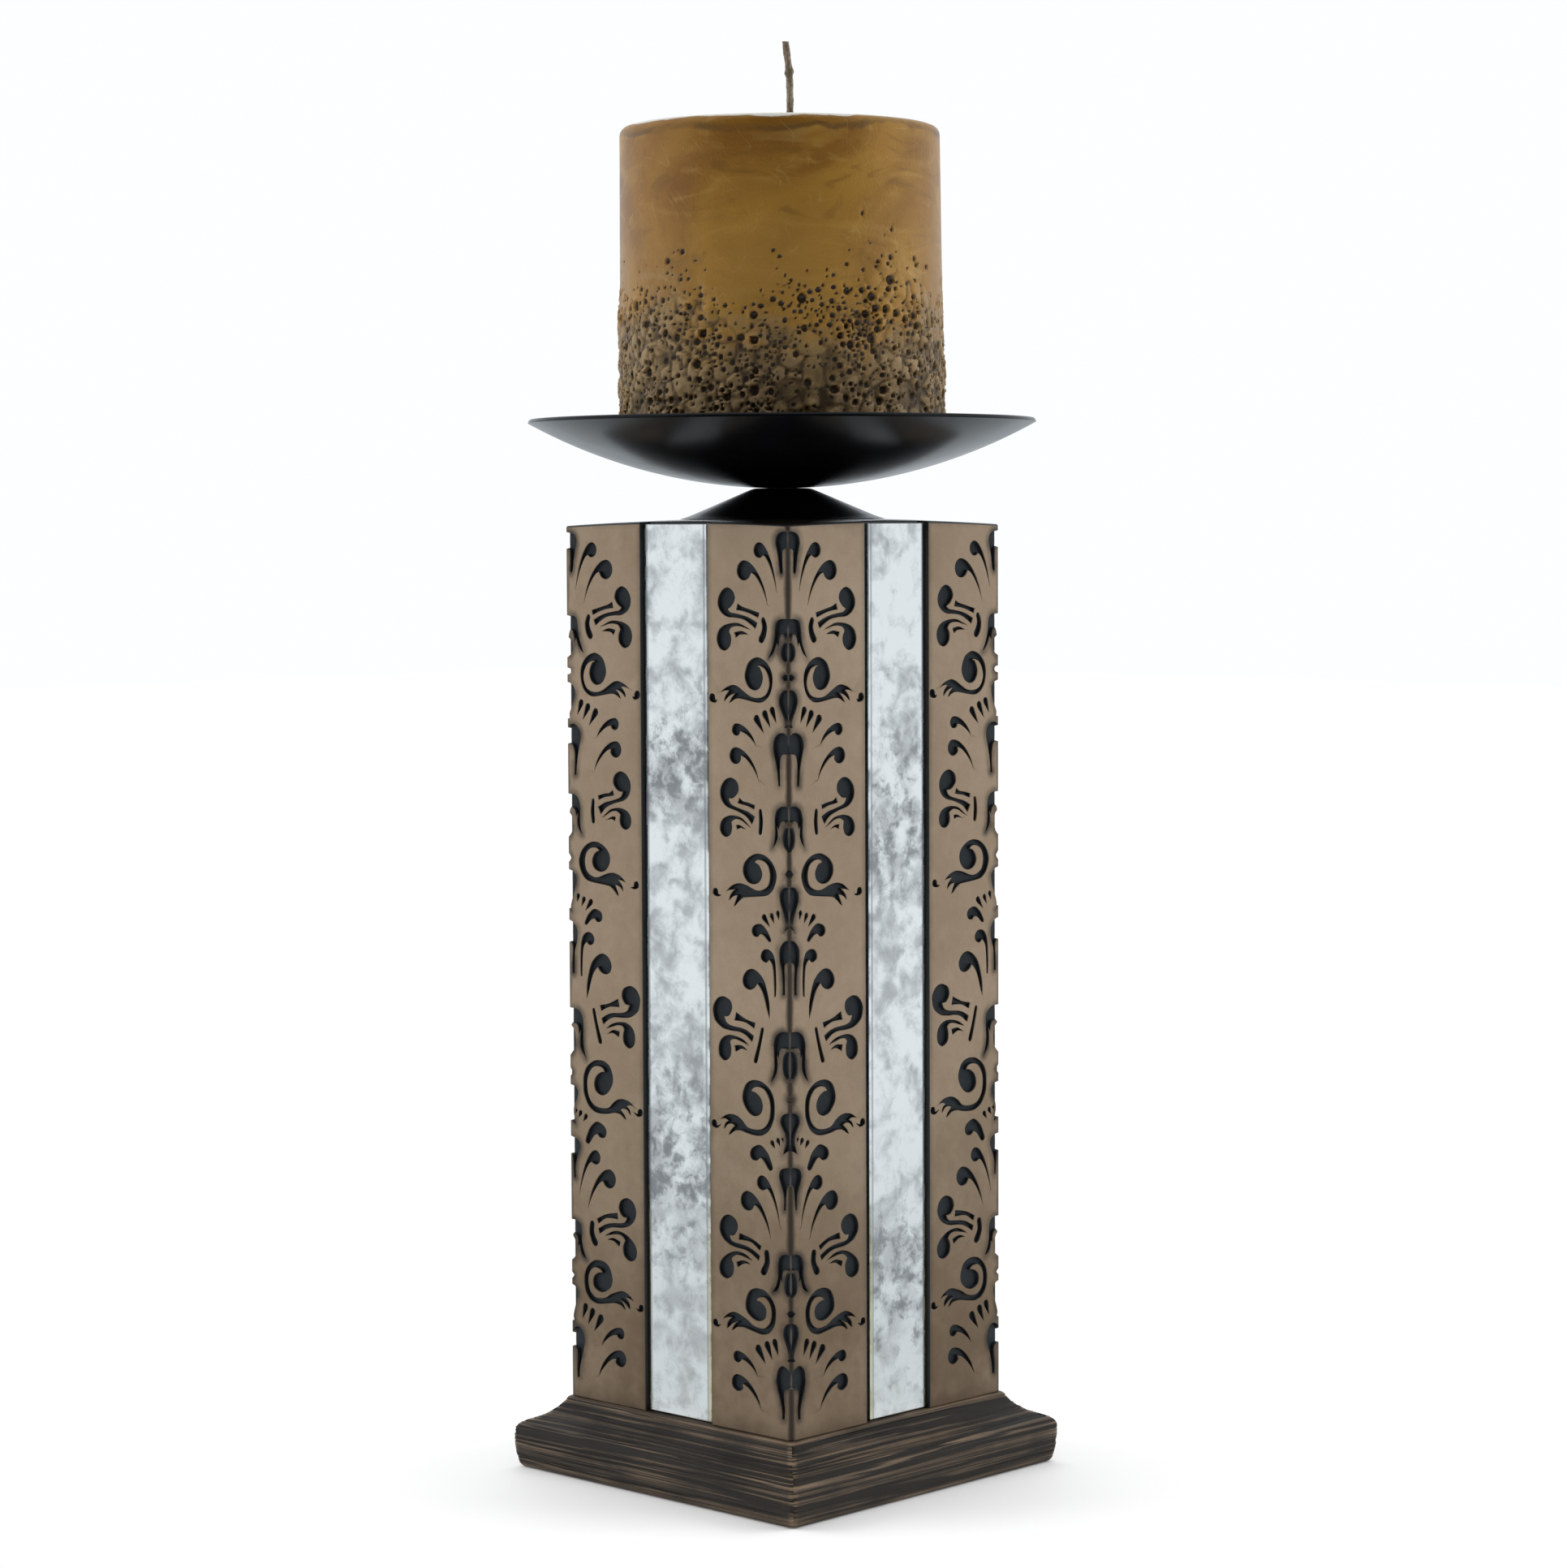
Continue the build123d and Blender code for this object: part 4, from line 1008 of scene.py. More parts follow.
# Darker along the channel edges, plus painted shade over the top few millimetres of the panels and at their
# foot beside the plinth.
dark_margin_and_shade = ramp(tree, inner, (channel_half + 2.0) * mm, (channel_half + 0.1) * mm)
dark_margin_and_shade = calc(tree, "MAXIMUM", dark_margin_and_shade, ramp(tree, pz, 0.2235, 0.2262))
dark_margin_and_shade = calc(tree, "MAXIMUM", dark_margin_and_shade, ramp(tree, pz, 0.0215, 0.0172))
dark_margin_and_shade = calc(tree, "MULTIPLY", dark_margin_and_shade, ramp(tree, patches, 0, 1, 0.55, 0.3))
tan = mix(tree, dark_margin_and_shade, tan, (0.085, 0.060, 0.038, 1))
wander = noise(tree, place, 160.0, 3.0)
near = add_node(tree, "Attribute", {"attribute_name": "halo"}).outputs["Fac"]
width = calc(tree, "ADD", 0.0009, calc(tree, "MULTIPLY", wander, 0.0016))
line = calc(tree, "SUBTRACT", 1.0, calc(tree, "DIVIDE", from_arris, width), True)
line = calc(tree, "MULTIPLY", ramp(tree, line, 0.0, 0.8), 0.9)
shade = calc(tree, "MULTIPLY", ramp(tree, near, 0.15, 1.0), ramp(tree, wander, 0.3, 0.65, 0.3, 0.85))
tan = mix(tree, calc(tree, "MAXIMUM", line, shade), tan, (0.022, 0.018, 0.015, 1))
floor_dark = mix(tree, grain, (0.005, 0.007, 0.009, 1), (0.011, 0.015, 0.019, 1))
ridge = calc(tree, "MULTIPLY", ramp(tree, from_arris, 0.0013, 0.0008), ramp(tree, wander, 0.36, 0.56))
floor_dark = mix(tree, calc(tree, "MULTIPLY", ridge, 0.75), floor_dark, (0.16, 0.118, 0.084, 1))
link(tree, mix(tree, ramp(tree, carved, 0.04, 0.3), tan, floor_dark), shader, "Base Color")
link(tree, ramp(tree, carved, 0.0, 0.5, 0.44, 0.5), shader, "Roughness")
link(tree, ramp(tree, carved, 0.3, 0.05, 0.0, 0.3), shader, "Metallic")
shader.inputs["Specular IOR Level"].default_value = 0.24
bump = add_node(tree, "Bump", None, {"Height": grain, "Strength": 0.25, "Distance": 0.00012})
link(tree, bump.outputs[0], shader, "Normal")
column.data.materials.append(column_bronze)
for name, roughness, sizes, dark, light in (
    # Channel walls: a black wash, darkened to near black as painted shade inside the channels.
    ("black channel wash and shade", 0.45, (200, 1500, 0.5), (0.006, 0.007, 0.007), (0.016, 0.017, 0.016)),
    ("dark glossy crown", 0.25, (60, 900, 0.4), (0.010, 0.009, 0.008), (0.03, 0.024, 0.019)),
    ("bare grey resin", 0.6, (80, 900, 0.4), (0.09, 0.085, 0.08), (0.13, 0.12, 0.11)),
):
    column.data.materials.append(two_tone(name, roughness, sizes, dark, light)[0])
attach(column, "holder")
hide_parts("column")

# Mirrors: four strips of thin antiqued mirror glass, one let into each face. Their long edges are
# ground to a narrow bevel, and each strip lies against one side of its channel. One is cut narrower.
mirror_thickness, mirror_face = 1.3, 35.4
mirror_low, mirror_high = 17.2, 225.3
mirror_width, narrow_width, mirror_gap, ground_edge = 20.5, 19.4, 0.1, 0.2
antique_silver, tree, shader = new_material("antique silver glass", 0.12, 1.0)
place, (px, py, pz) = place_parts(tree)
turned_side = calc(tree, "GREATER_THAN", calc(tree, "MAXIMUM", px, py), 0.03)


def aged_at(low_height, low_reach, high_height, high_reach):
    """Mask of two heights where the silvering has gone grey."""
    spots = []
    for height, reach in ((low_height, low_reach), (high_height, high_reach)):
        away = calc(tree, "ABSOLUTE", calc(tree, "SUBTRACT", pz, height * mm))
        spots.append(ramp(tree, away, reach * mm, 0.0))
    return calc(tree, "MAXIMUM", *spots)


aged = add_node(tree, "Mix", {"data_type": "FLOAT"},
                {0: turned_side, 2: aged_at(76, 46, 172, 26), 3: aged_at(46, 38, 158, 34)}).outputs[0]
billow = noise(tree, place, 150.0, 9.0, roughness=0.62, distortion=0.3)
smoke = noise(tree, place, 300.0, 8.0, roughness=0.68, distortion=0.3)
broad = calc(tree, "SUBTRACT", noise(tree, place, 45.0, 3.0), 0.5)
lean = calc(tree, "ADD", calc(tree, "MULTIPLY", aged, 0.10), calc(tree, "MULTIPLY", broad, 0.5))
cloud = ramp(tree, calc(tree, "ADD", billow, lean), 0.40, 0.68)
silver = mix(tree, cloud, (0.83, 0.83, 0.81, 1), (0.54, 0.54, 0.53, 1))
silver = mix(tree, ramp(tree, pz, 0.110, 0.030, 0.0, 0.45), silver, (0.50, 0.50, 0.485, 1))
soot = ramp(tree, calc(tree, "ADD", smoke, calc(tree, "MULTIPLY", lean, 0.9)), 0.50, 0.70)
soot = calc(tree, "MULTIPLY", soot, ramp(tree, aged, 0, 1, 0.2, 0.68))
silver = mix(tree, soot, silver, (0.13, 0.135, 0.138, 1))
across = add_node(tree, "SeparateXYZ", None, {0: add_node(tree, "UVMap").outputs[0]}).outputs[0]
across = calc(tree, "ABSOLUTE", across)
edge = calc(tree, "MULTIPLY", ramp(tree, across, 0.865, 0.885), ramp(tree, across, 0.945, 0.93))
silver = mix(tree, calc(tree, "MULTIPLY", edge, 0.6), silver, (0.25, 0.265, 0.27, 1))
yellow = calc(tree, "MULTIPLY", ramp(tree, across, 0.90, 0.95), ramp(tree, pz, 0.085, 0.045))
silver = mix(tree, calc(tree, "MULTIPLY", yellow, 0.6), silver, (0.50, 0.42, 0.16, 1))
link(tree, silver, shader, "Base Color")
link(tree, ramp(tree, cloud, 0, 1, 0.12, 0.35), shader, "Roughness")
glass_edge, tree, shader = two_tone(
    "green glass edge", 0.15, (150, 900, 0.5), (0.03, 0.045, 0.04), (0.10, 0.125, 0.11))
shader.inputs["Coat Weight"].default_value = 0.6

for side, angle, width, push in (
    ("front", -90, mirror_width, -1), ("right", 0, narrow_width, 1),
    ("back", 90, mirror_width, 1), ("left", 180, mirror_width, -1),
):
    middle_y = push * (channel_half - mirror_gap - width / 2)
    bpy.ops.object.select_all(action="DESELECT")
    bpy.ops.mesh.primitive_cube_add(size=1, location=(
        (mirror_face - mirror_thickness / 2) * mm, middle_y * mm, (mirror_low + mirror_high) / 2 * mm))
    strip = bpy.context.object
    strip.name = "mirror_strip_" + side
    strip.scale = (mirror_thickness * mm, width * mm, (mirror_high - mirror_low) * mm)
    bpy.ops.object.transform_apply(location=True, rotation=True, scale=True)
    pick_edges(strip, lambda a, b: min(a.x, b.x) > (mirror_face - 0.1) * mm)
    bpy.ops.mesh.bevel(offset=ground_edge * mm, segments=1)
    bpy.ops.object.mode_set(mode="OBJECT")
    chart = strip.data.uv_layers[0]
    for face in strip.data.polygons:
        face.material_index = 0 if face.normal.x > 0.3 else 1
        for corner_index in face.loop_indices:
            co = strip.data.vertices[strip.data.loops[corner_index].vertex_index].co
            chart.data[corner_index].uv = ((co.y / mm - middle_y) / (width / 2), co.z / mm / 10)
    strip.data.materials.append(antique_silver)
    strip.data.materials.append(glass_edge)
    strip.rotation_euler = (0, 0, math.radians(angle))
    bpy.ops.object.transform_apply(location=True, rotation=True, scale=True)
    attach(strip, "holder")
    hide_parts("mirror_" + side)

# Foam tape: two runs of white double-sided foam behind each mirror. The solids are already the
# right shape, and only the foam's finish is added.
white_foam = two_tone("white foam", 0.9, (500, 3000, 0.6), (0.75, 0.74, 0.70), (0.87, 0.86, 0.82))[0]


def dress(node_name, finish):
    """Finish on a piece that is shown as it was drawn in the solids."""
    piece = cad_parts[node_name]
    if not piece.material_slots:
        piece.data.materials.append(finish)
    for holder in piece.material_slots:
        holder.material = finish


for side in ("front", "right", "back", "left"):
    dress("mirror_tape_" + side, white_foam)

# Collar and dish: two pieces of black painted sheet metal, spun on a lathe. The bell collar covers
# the column's insert, and the dish is a shallow part of a sphere with a softened rim.
dish_base, dish_radius, dish_rim, dish_wall, dish_hole = 233.5, 59.9, 248.9, 1.0, 3.3
dish_rise = dish_rim - dish_base
dish_ball = (dish_radius**2 + dish_rise**2) / (2 * dish_rise)
dish_centre = dish_base + dish_ball
collar_foot, collar_wall = 226.27, 1.1


def spun(name, profile, steps=144):
    """A closed outline of (radius, height) turned once about the middle."""
    count = len(profile)
    edges = [(i, (i + 1) % count) for i in range(count)]
    piece = open_mesh(name, [(r, 0, z) for r, z in profile], edges, [])
    bpy.ops.mesh.spin(steps=steps, angle=2 * math.pi, center=(0, 0, 0), axis=(0, 0, 1))
    bpy.ops.mesh.select_all(action="SELECT")
    bpy.ops.mesh.remove_doubles(threshold=0.002 * mm)
    close_mesh(40)
    return piece


black_metal, tree, shader = two_tone(
    "satin black paint", 0.3, (90, 1200, 0.5), (0.001, 0.0012, 0.0016), (0.003, 0.0034, 0.0042))
link(tree, ramp(tree, cloud_mask(tree, 40, 300, 0.2, 0.3, 0.7), 0, 1, 0.21, 0.26), shader, "Roughness")
shader.inputs["Specular IOR Level"].default_value = 0.16
outer_arc = [(r, dish_centre - math.sqrt(dish_ball**2 - r**2))
             for r in np.linspace(dish_hole, dish_radius, 40)]
inner_ball = dish_ball - dish_wall
inner_edge = inner_ball * dish_radius / dish_ball
inner_arc = [(r, dish_centre - math.sqrt(inner_ball**2 - r**2))
             for r in np.linspace(inner_edge, dish_hole, 40)]
rim_low, rim_top = np.array(outer_arc[-1]), np.array(inner_arc[0])
rim_way = (rim_top - rim_low) / 2
bulge = np.array((rim_way[1], -rim_way[0])) * 0.3
rim_turn = [tuple(rim_low + rim_way * t + bulge * math.sin(math.pi * t / 2)) for t in (0.4, 1.0, 1.6)]
dish = spun("spun_dish", outer_arc + rim_turn + inner_arc)
collar_line = [
    (6.0, 233.5), (6.6, 233.45), (7.2, 233.3), (7.8, 233.06), (9.0, 232.56), (12.0, 231.28),
    (15.0, 229.99), (18.0, 228.7), (21.0, 227.42), (22.4, 226.87), (23.4, 226.55), (24.1, 226.37)]
collar_back = [(24.1, collar_foot), (24.1 - 2 * collar_wall, collar_foot), (20.45, 226.32), (7.25, 231.96),
               (6.0, 232.4), (dish_hole, 232.4)]
collar = spun("bell_collar", [(dish_hole, 233.5)] + collar_line + collar_back)
for piece, node_name in ((dish, "dish"), (collar, "collar")):
    piece.data.materials.append(black_metal)
    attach(piece, "holder")
    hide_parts(node_name)

# Fixings: a zinc-plated washer and button-head screw hold the dish to a turned brass insert in
# the crown, and four zinc-plated screws hold the plinth from below.
fine_grain = (300, 2500, 0.5)
bright_zinc = two_tone("bright zinc", 0.3, fine_grain, (0.48, 0.49, 0.51), (0.62, 0.63, 0.64), 1.0)[0]
turned_brass = two_tone("turned brass", 0.28, fine_grain, (0.66, 0.48, 0.22), (0.78, 0.6, 0.32), 1.0)[0]
for node_name in ("dish_washer", "dish_screw", "column_screws"):
    dress(node_name, bright_zinc)
dress("top_insert", turned_brass)

# Candle: a poured pillar of amber wax, smooth above. Its lower part is lumpy and full of round
# pits with raised lips, left by crushed salt or ice in the mould, and stained brown.
candle_base, candle_tall, foot_radius, top_radius = 240.43, 77.6, 38.2, 37.5
foot_turn, top_turn = 1.5, 2.0
wick_spot = np.array((1.59, 1.52))
tab_radius, tab_thick, neck_radius, neck_tall, bore_radius = 12.05, 0.4, 1.65, 6.0, 1.0
around, rough_height, row_step, smooth_rows = 520, 52.0, 0.43, 24
lumps, bosses, nest_count, pit_tries = 2600, 900, 170, 10500
relief_cap, relief_base = 0.7, 0.1
candle_top = candle_base + candle_tall
angles = np.arange(around) * 2 * math.pi / around
heights = np.concatenate([
    np.arange(candle_base + foot_turn, candle_base + rough_height, row_step),
    np.linspace(candle_base + rough_height, candle_top - top_turn, smooth_rows)])
rows_up = len(heights)
turn, tall = np.meshgrid(angles, heights)
rng = np.random.default_rng(11)


def wrap(a):
    return (a + math.pi) % (2 * math.pi) - math.pi


def swell(a, centre, spread):
    """Bulge round a direction in degrees, counted from the side that faces the camera."""
    a = wrap(a - (camera_angle - math.pi / 2) - math.radians(centre))
    return np.exp(-(a / math.radians(spread)) ** 2)


def pit_line(a):
    """Height at which the pits begin, round the candle."""
    return (candle_base + 30 + 14 * swell(a, 40, 25) + 9 * swell(a, -36, 17) + 5 * swell(a, -80, 25)
            + 12 * swell(a, 150, 40) + 7 * swell(a, -130, 30)
            + 1.6 * np.sin(7 * a + 1) + 1.2 * np.sin(13 * a))


def stain_line(a):
    """Height below which the wax is brown."""
    return (candle_base + 27 + 7 * swell(a, -55, 35) + 5 * swell(a, 75, 30) + 6 * swell(a, 170, 60)
            + 1.5 * np.sin(6 * a))


pitted = 1 / (1 + np.exp((tall - pit_line(turn)) / 2.6))
stained = 1 / (1 + np.exp((tall - stain_line(turn)) / 4.5))
relief, pits = np.zeros_like(tall), np.zeros_like(tall)


def patch_round(a, z, reach):
    """The part of the wall within reach of a spot, and its distances across and up from it."""
    rows = np.where(np.abs(heights - z) < reach)[0]
    wide = int(reach / foot_radius / angles[1]) + 1
    patch = np.ix_(rows, (np.arange(-wide, wide + 1) + round(a / angles[1])) % around)
    return patch, wrap(turn[patch] - a) * foot_radius, tall[patch] - z


for _ in range(lumps):  # soft lumps, from broad swells down to small bosses
    a, z = rng.uniform(-math.pi, math.pi), rng.uniform(candle_base, candle_top)
    r = 0.8 + rng.exponential(1.1)
    patch, over, up = patch_round(a, z, 2.2 * r)
    relief[patch] += rng.uniform(-0.13, 0.17) * min(r, 2.2) * np.exp(-1.6 * (over**2 + up**2) / r**2)
relief *= 0.07 + 0.93 * pitted

# Crust: close-packed bosses with furrows between them
boss_high = rng.uniform(-0.05, 0.62, bosses) * (rng.random(bosses) < 0.8)
crust = kdtree.KDTree(bosses)
for i in range(bosses):
    a = rng.uniform(0, 2 * math.pi)
    z = rng.uniform(candle_base - 3, candle_base + rough_height)
    crust.insert((foot_radius * math.cos(a), foot_radius * math.sin(a), z), i)
crust.balance()
furrow = np.zeros_like(tall)
for row in np.where(heights < candle_base + 50)[0]:
    stray = 0.5 * np.sin(9 * angles + heights[row]) + 0.35 * np.sin(31 * angles - 1.7 * heights[row])
    for i in np.where(pitted[row] > 0.03)[0]:
        x, y = foot_radius * math.cos(angles[i]), foot_radius * math.sin(angles[i])
        (_, which, first_away), (_, _, second_away) = crust.find_n((x, y, heights[row] + stray[i]), 2)
        furrow[row, i] = max(0.0, 1 - (second_away - first_away) / 0.9) * (0.4 + boss_high[which])
        dome = max(0.0, 1 - (first_away / 2.9) ** 2)
        relief[row, i] += pitted[row, i] * (boss_high[which] * dome - 0.35 * furrow[row, i])

taken = np.zeros((0, 3))
nests = [(rng.uniform(-math.pi, math.pi), rng.beta(1.2, 1.0)) for _ in range(nest_count)]
for _ in range(pit_tries):
    a, share = nests[rng.integers(len(nests))]
    line = float(pit_line(a))
    z = candle_base + 0.5 + (line + 9 - candle_base) * share + rng.normal(0, 2.4)
    a += rng.normal(0, 2.4) / foot_radius
    if rng.random() < 0.25:
        a, z = rng.uniform(-math.pi, math.pi), rng.uniform(candle_base + 0.5, candle_base + 58)
    line = float(pit_line(a))
    above = max(0.0, z - line)
    if z < candle_base + 0.4 or above > 0 and rng.random() > 0.85 * math.exp(-above / 4.0):
        continue
    r = min(1.15, 0.32 + rng.exponential(0.27)) * (0.7 if above > 3 else 1.0)
    gaps = np.hypot(wrap(taken[:, 0] - a) * foot_radius, taken[:, 1] - z) - taken[:, 2] - r
    if len(gaps) and gaps.min() < 0.06:
        continue
    taken = np.vstack([taken, (a, z, r)])
    deep = r * rng.uniform(0.6, 1.0)
    patch, over, up = patch_round(a, z, 2.4 * r)
    away = np.hypot(over, up * rng.uniform(0.85, 1.15)) / r
    bowl = np.clip(1 - away**2, 0, 1) ** 0.6
    raised = relief[patch] + np.exp(-((away - 1.25) / 0.25) ** 2) * 0.2 * r
    relief[patch] = np.where(away < 1, np.minimum(raised, raised * (1 - bowl) - deep * bowl), raised)
    pits[patch] = np.maximum(pits[patch], bowl)
relief += rng.normal(0, 0.035, relief.shape) * pitted
fade = np.where(relief > 0, np.clip((tall - candle_base - 1) / 6, 0, 1), 1)
relief = np.minimum(relief, relief_cap) * fade + relief_base
# Crease: how deep each point lies in a hollow or furrow, used to paint shade in the hollows and a highlight
# on the crests.
crease = np.clip(np.clip((0.3 - relief) / 1.1, 0, 1) + 0.8 * furrow, 0, 1) * pitted
side_radius = foot_radius + (top_radius - foot_radius) * (heights - candle_base) / candle_tall
side = side_radius[:, None] + relief
wobble = 0.12 * np.sin(3 * angles + 0.7) + 0.08 * np.sin(7 * angles)
lean_way, lean_low, lean_high = np.array((0.3387673, 0.3210985)), 0.4, -0.6


def loop_at(radius, z, centre=(0.0, 0.0)):
    return np.column_stack([centre[0] + radius * np.cos(angles), centre[1] + radius * np.sin(angles),
                            np.broadcast_to(z, around)])


def leaning(z):
    """Middle of the candle at a height: it stands a hair out of true."""
    return lean_way * (lean_low + (lean_high - lean_low) * (z - candle_base) / candle_tall)


loops, stain, holes, creases = [], [], [], []


def add_loop(points, brown, hole=0.0, fold=0.0):
    loops.append(points)
    for kept, value in ((stain, brown), (holes, hole), (creases, fold)):
        kept.append(np.broadcast_to(value, around))


for a in (math.radians(d) for d in (90, 60, 30)):
    set_in = foot_turn * (1 - math.cos(a))
    add_loop(loop_at(side[0] - set_in, candle_base + foot_turn * (1 - math.sin(a)), leaning(candle_base)),
             stained[0])
for row in range(rows_up):
    add_loop(loop_at(side[row], heights[row], leaning(heights[row])), stained[row], pits[row], crease[row])
for a in (math.radians(d) for d in (20, 40, 60, 80)):
    z = candle_top - top_turn + top_turn * math.sin(a)
    add_loop(loop_at(side[-1] - top_turn * (1 - math.cos(a)), z + 0.12 * wobble * math.sin(a) - 0.05,
                     leaning(candle_top)), 0.0)
for share in np.linspace(0, 1, 22)[1:]:
    radius = (side[-1] - top_turn) * (1 - share) + bore_radius * share
    dish_in = 0.55 * math.sin(math.pi * min(1.0, share * 1.15)) * (1 if share < 0.87 else 0.6)
    add_loop(loop_at(radius, candle_top - 0.06 - dish_in + 0.05 * wobble * (1 - share),
                     leaning(candle_top) * (1 - share) + wick_spot * share), 0.0)
add_loop(loop_at(bore_radius, candle_base + tab_thick + neck_tall, wick_spot), 0.0)
add_loop(loop_at(neck_radius, candle_base + tab_thick + neck_tall, wick_spot), 0.0)
add_loop(loop_at(neck_radius, candle_base + tab_thick, wick_spot), 0.0)
add_loop(loop_at(tab_radius, candle_base + tab_thick, wick_spot), 0.0)
add_loop(loop_at(tab_radius, candle_base, wick_spot), 0.5)
count = len(loops)
quads = [(i * around + j, i * around + (j + 1) % around, (i + 1) % count * around + (j + 1) % around,
          (i + 1) % count * around + j) for i in range(count) for j in range(around)]
marks = ("stain", stain), ("pit", holes), ("crease", creases)
candle = open_mesh("pillar_candle", np.concatenate(loops), [], quads,
                   [(name, np.concatenate(values)) for name, values in marks])
close_mesh(60)

amber_wax, tree, shader = new_material("amber wax", 0.42)
place, (px, py, pz) = place_parts(tree)
brown = add_node(tree, "Attribute", {"attribute_name": "stain"}).outputs["Fac"]
pit = add_node(tree, "Attribute", {"attribute_name": "pit"}).outputs["Fac"]
fold = add_node(tree, "Attribute", {"attribute_name": "crease"}).outputs["Fac"]
swept = noise(tree, place, 24.0, 5.0, distortion=1.2)
smear = add_node(tree, "Mapping", None, {"Vector": place, "Scale": (1, 1, 3.2)}).outputs[0]
smear = noise(tree, smear, 40.0, 7.0, distortion=2.0)
fine = cloud_mask(tree, 300, 1800, 0.5, 0.3, 0.7)
wax = mix(tree, ramp(tree, swept, 0.34, 0.66), (0.300, 0.152, 0.016, 1), (0.175, 0.072, 0.004, 1))
wax = mix(tree, calc(tree, "MULTIPLY", ramp(tree, smear, 0.52, 0.72), 0.32), wax, (0.40, 0.235, 0.050, 1))
wax = mix(tree, calc(tree, "MULTIPLY", ramp(tree, smear, 0.46, 0.30), 0.45), wax, (0.11, 0.05, 0.006, 1))
paler = ramp(tree, pz, (candle_top - 14) * mm, (candle_top - 38) * mm, 0.0, 0.3)
wax = mix(tree, paler, wax, (0.37, 0.215, 0.050, 1))
drift = calc(tree, "ADD", pz, calc(tree, "MULTIPLY", calc(tree, "SUBTRACT", swept, 0.5), 0.012))
rim_line = calc(tree, "MULTIPLY", ramp(tree, drift, (candle_top - 3.4) * mm, (candle_top - 2.6) * mm),
                ramp(tree, drift, (candle_top - 1.1) * mm, (candle_top - 2.2) * mm))
rim_line = calc(tree, "MULTIPLY", rim_line, ramp(tree, smear, 0.38, 0.62, 0.15, 0.75))
wax = mix(tree, rim_line, wax, (0.09, 0.045, 0.008, 1))
scuff = noise(tree, place, 17.0, 1.5, distortion=3.5)
scuff = ramp(tree, calc(tree, "ABSOLUTE", calc(tree, "SUBTRACT", scuff, 0.5)), 0.006, 0.0)
scuff = calc(tree, "MULTIPLY", scuff, ramp(tree, smear, 0.4, 0.6, 0.0, 0.22))
wax = mix(tree, scuff, wax, (0.47, 0.33, 0.12, 1))
# A pale greenish-white band along the very top of the rim: a painted highlight standing in for the room's
# reflection on the rim's curve.
rim_highlight = calc(tree, "ADD", pz, calc(tree, "MULTIPLY", calc(tree, "SUBTRACT", swept, 0.5), 0.006))
rim_highlight = ramp(tree, rim_highlight, (candle_top - 0.55) * mm, (candle_top - 0.2) * mm)
wax = mix(tree, calc(tree, "MULTIPLY", rim_highlight, 0.9), wax, (0.60, 0.61, 0.56, 1))
# Pale over the top face and the upper curve of the rim; on the rim it adds to the painted highlight.
inward = calc(tree, "ADD", calc(tree, "MULTIPLY", px, px), calc(tree, "MULTIPLY", py, py))
inward = calc(tree, "SQRT", inward)
inward = ramp(tree, inward, (top_radius - 0.6) * mm, (top_radius - 2.2) * mm)
inward = calc(tree, "MULTIPLY", inward, ramp(tree, pz, (candle_top - 2.5) * mm, (candle_top - 1.5) * mm))
inward = calc(tree, "MULTIPLY", inward, ramp(tree, smear, 0.35, 0.65, 0.62, 0.85))
wax = mix(tree, inward, wax, (0.56, 0.55, 0.46, 1))
earth = mix(tree, fine, (0.150, 0.092, 0.030, 1), (0.262, 0.172, 0.070, 1))
deepen = ramp(tree, pz, (candle_base + 26) * mm, candle_base * mm, 0.0, 0.42)
earth = mix(tree, deepen, earth, (0.06, 0.042, 0.02, 1))
# Stained wax made lighter on the crests of the lumps: a painted highlight.
crest_highlight = ramp(tree, fold, 0.30, 0.05, 0.0, 0.45)
earth = mix(tree, calc(tree, "MULTIPLY", crest_highlight, brown), earth, (0.36, 0.25, 0.125, 1))
drift = calc(tree, "MULTIPLY", calc(tree, "SUBTRACT", smear, 0.5), 1.3)
drift = calc(tree, "ADD", calc(tree, "SUBTRACT", swept, 0.5), drift)
wax = mix(tree, ramp(tree, calc(tree, "ADD", brown, drift), 0.15, 0.85), wax, earth)
# Darker in the furrows and hollows between the lumps: painted shade.
wax = mix(tree, ramp(tree, fold, 0.15, 0.85, 0.0, 0.85), wax, (0.045, 0.025, 0.008, 1))
cells = add_node(tree, "TexVoronoi", None, {"Vector": place, "Scale": 620.0, "Randomness": 1.0})
chance = add_node(tree, "SeparateColor", None, {0: cells.outputs["Color"]}).outputs
size = calc(tree, "MULTIPLY", chance[0], 0.3)
reach = calc(tree, "ADD", calc(tree, "MULTIPLY", brown, 1.2), calc(tree, "SUBTRACT", smear, 0.75))
size = calc(tree, "MULTIPLY", size, ramp(tree, calc(tree, "SUBTRACT", reach, chance[1]), -0.25, 0.2))
speck = calc(tree, "SUBTRACT", size, cells.outputs["Distance"])
speck = ramp(tree, speck, -0.02, 0.06)
# Near-black in the pits and the small dimples: painted shade.
hole = calc(tree, "MAXIMUM", ramp(tree, pit, 0.12, 0.6), speck)
wax = mix(tree, hole, wax, (0.034, 0.017, 0.005, 1))
shader.inputs["Specular IOR Level"].default_value = 0.33
link(tree, wax, shader, "Base Color")
link(tree, ramp(tree, brown, 0, 1, 0.36, 0.5), shader, "Roughness")
shader.inputs["Subsurface Weight"].default_value = 0.12
shader.inputs["Subsurface Radius"].default_value = (1.0, 0.55, 0.25)
shader.inputs["Subsurface Scale"].default_value = 0.003
height = calc(tree, "SUBTRACT", calc(tree, "MULTIPLY", fine, 0.4), speck)
bump = add_node(tree, "Bump", None, {"Height": height, "Strength": 0.5, "Distance": 0.0003})
link(tree, bump.outputs[0], shader, "Normal")
candle.data.materials.append(amber_wax)
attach(candle, "candle")
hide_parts("candle_wax")

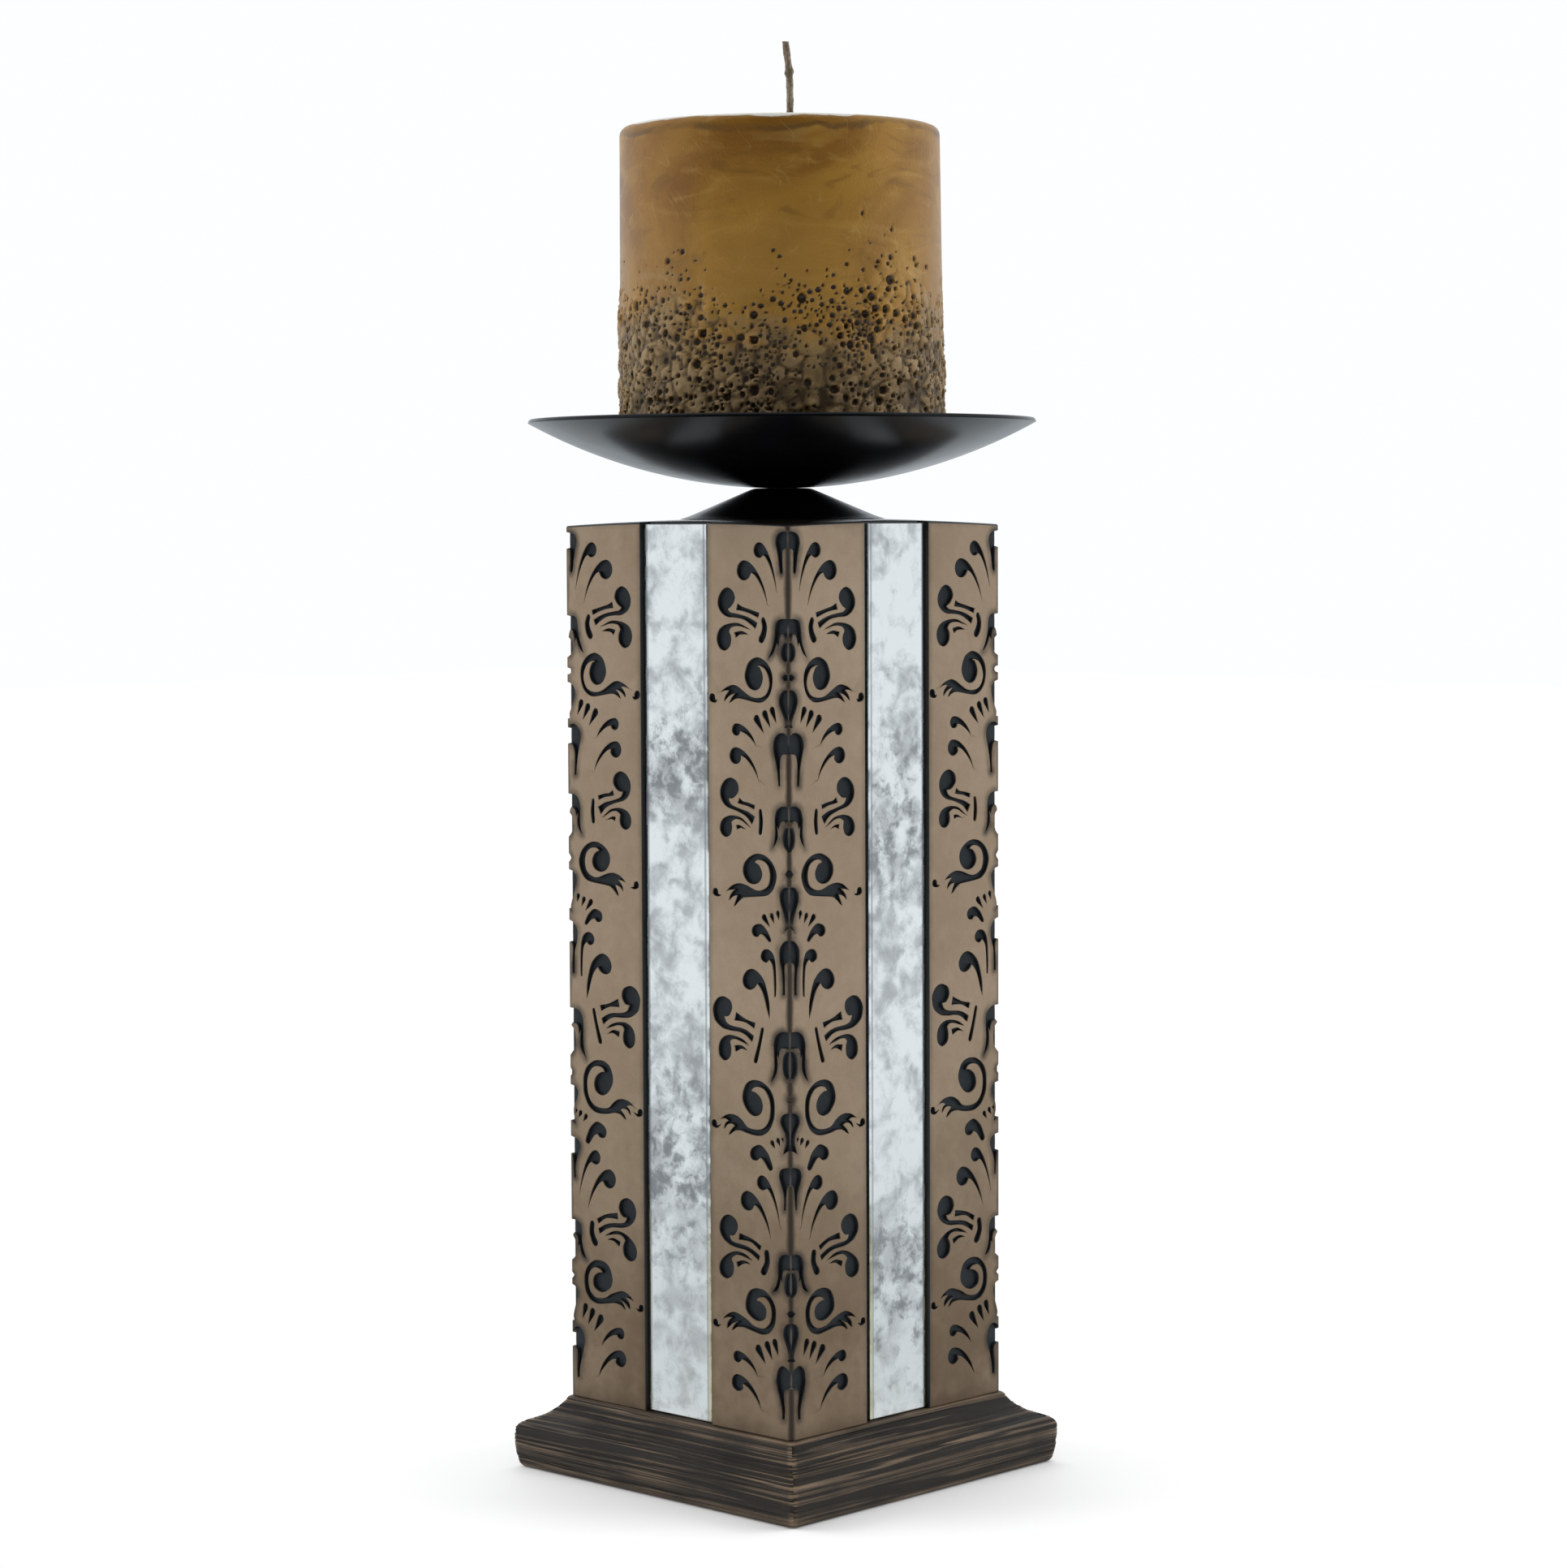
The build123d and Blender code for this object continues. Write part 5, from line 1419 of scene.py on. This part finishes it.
# Wick: three twisted cotton strands drawn through hot wax, crimped in a pressed tin tab at the
# foot. Wax has gathered in small knobs, and the free end leans over.
wick_radius, wick_foot, wick_bend, wick_tip = 0.95, 240.83, 331.0, 338.4
tip_spot = np.array((0.83, 0.79))
turns_around, steps_up = 28, 150
twist, strand_dip = 0.85, 0.09
knobs = ((320.3, 35, 0.42, 0.8), (330.6, 215, 0.4, 0.7), (331.2, 40, 0.34, 0.6), (337.6, 120, 0.15, 0.8))
wick_loops = []
for k in range(steps_up + 1):
    z = wick_foot + (wick_tip - 0.35 - wick_foot) * (k / steps_up) ** 0.75
    lean = max(0.0, z - wick_bend + 2.5) / (wick_tip - wick_bend + 2.5)
    centre = wick_spot + (tip_spot - wick_spot) * lean**1.3
    free = min(1.0, max(0.0, (z - candle_top) / 1.5))
    a = np.arange(turns_around) * 2 * math.pi / turns_around
    r = wick_radius * (1 - strand_dip * free * (0.5 + 0.5 * np.cos(3 * a - twist * z)))
    r = r * (1 - free * (0.10 + 0.05 * math.sin(1.7 * z) + 0.03 * math.sin(4.1 * z)))
    for knob_z, side_angle, size, spread in knobs:
        facing = np.clip(np.cos(a - math.radians(side_angle)), 0, 1) ** 2
        r = r + size * math.exp(-((z - knob_z) / spread) ** 2) * facing
    wick_loops.append(np.column_stack(
        [centre[0] + r * np.cos(a), centre[1] + r * np.sin(a), np.full(turns_around, z)]))
quads = [(k * turns_around + j, k * turns_around + (j + 1) % turns_around,
          (k + 1) * turns_around + (j + 1) % turns_around, (k + 1) * turns_around + j)
         for k in range(steps_up) for j in range(turns_around)]
wick = open_mesh("twisted_wick", np.concatenate(wick_loops), [], quads + [
    tuple(range(turns_around))[::-1], tuple(range(steps_up * turns_around, (steps_up + 1) * turns_around))])
close_mesh(50)
waxed_cotton, tree, shader = new_material("waxed cotton", 0.6)
place, (px, py, pz) = place_parts(tree)
pale = cloud_mask(tree, 260, 1600, 0.5, 0.4, 0.62)
cotton = mix(tree, pale, (0.125, 0.095, 0.066, 1), (0.30, 0.235, 0.165, 1))
cotton = mix(tree, ramp(tree, pz, (candle_top + 5) * mm, candle_top * mm), cotton, (0.07, 0.045, 0.022, 1))
link(tree, cotton, shader, "Base Color")
wick.data.materials.append(waxed_cotton)
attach(wick, "candle")
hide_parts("wick")
pressed_tin = two_tone("pressed tin", 0.35, fine_grain, (0.5, 0.5, 0.5), (0.66, 0.66, 0.65), 1.0)[0]
dress("wick_tab", pressed_tin)
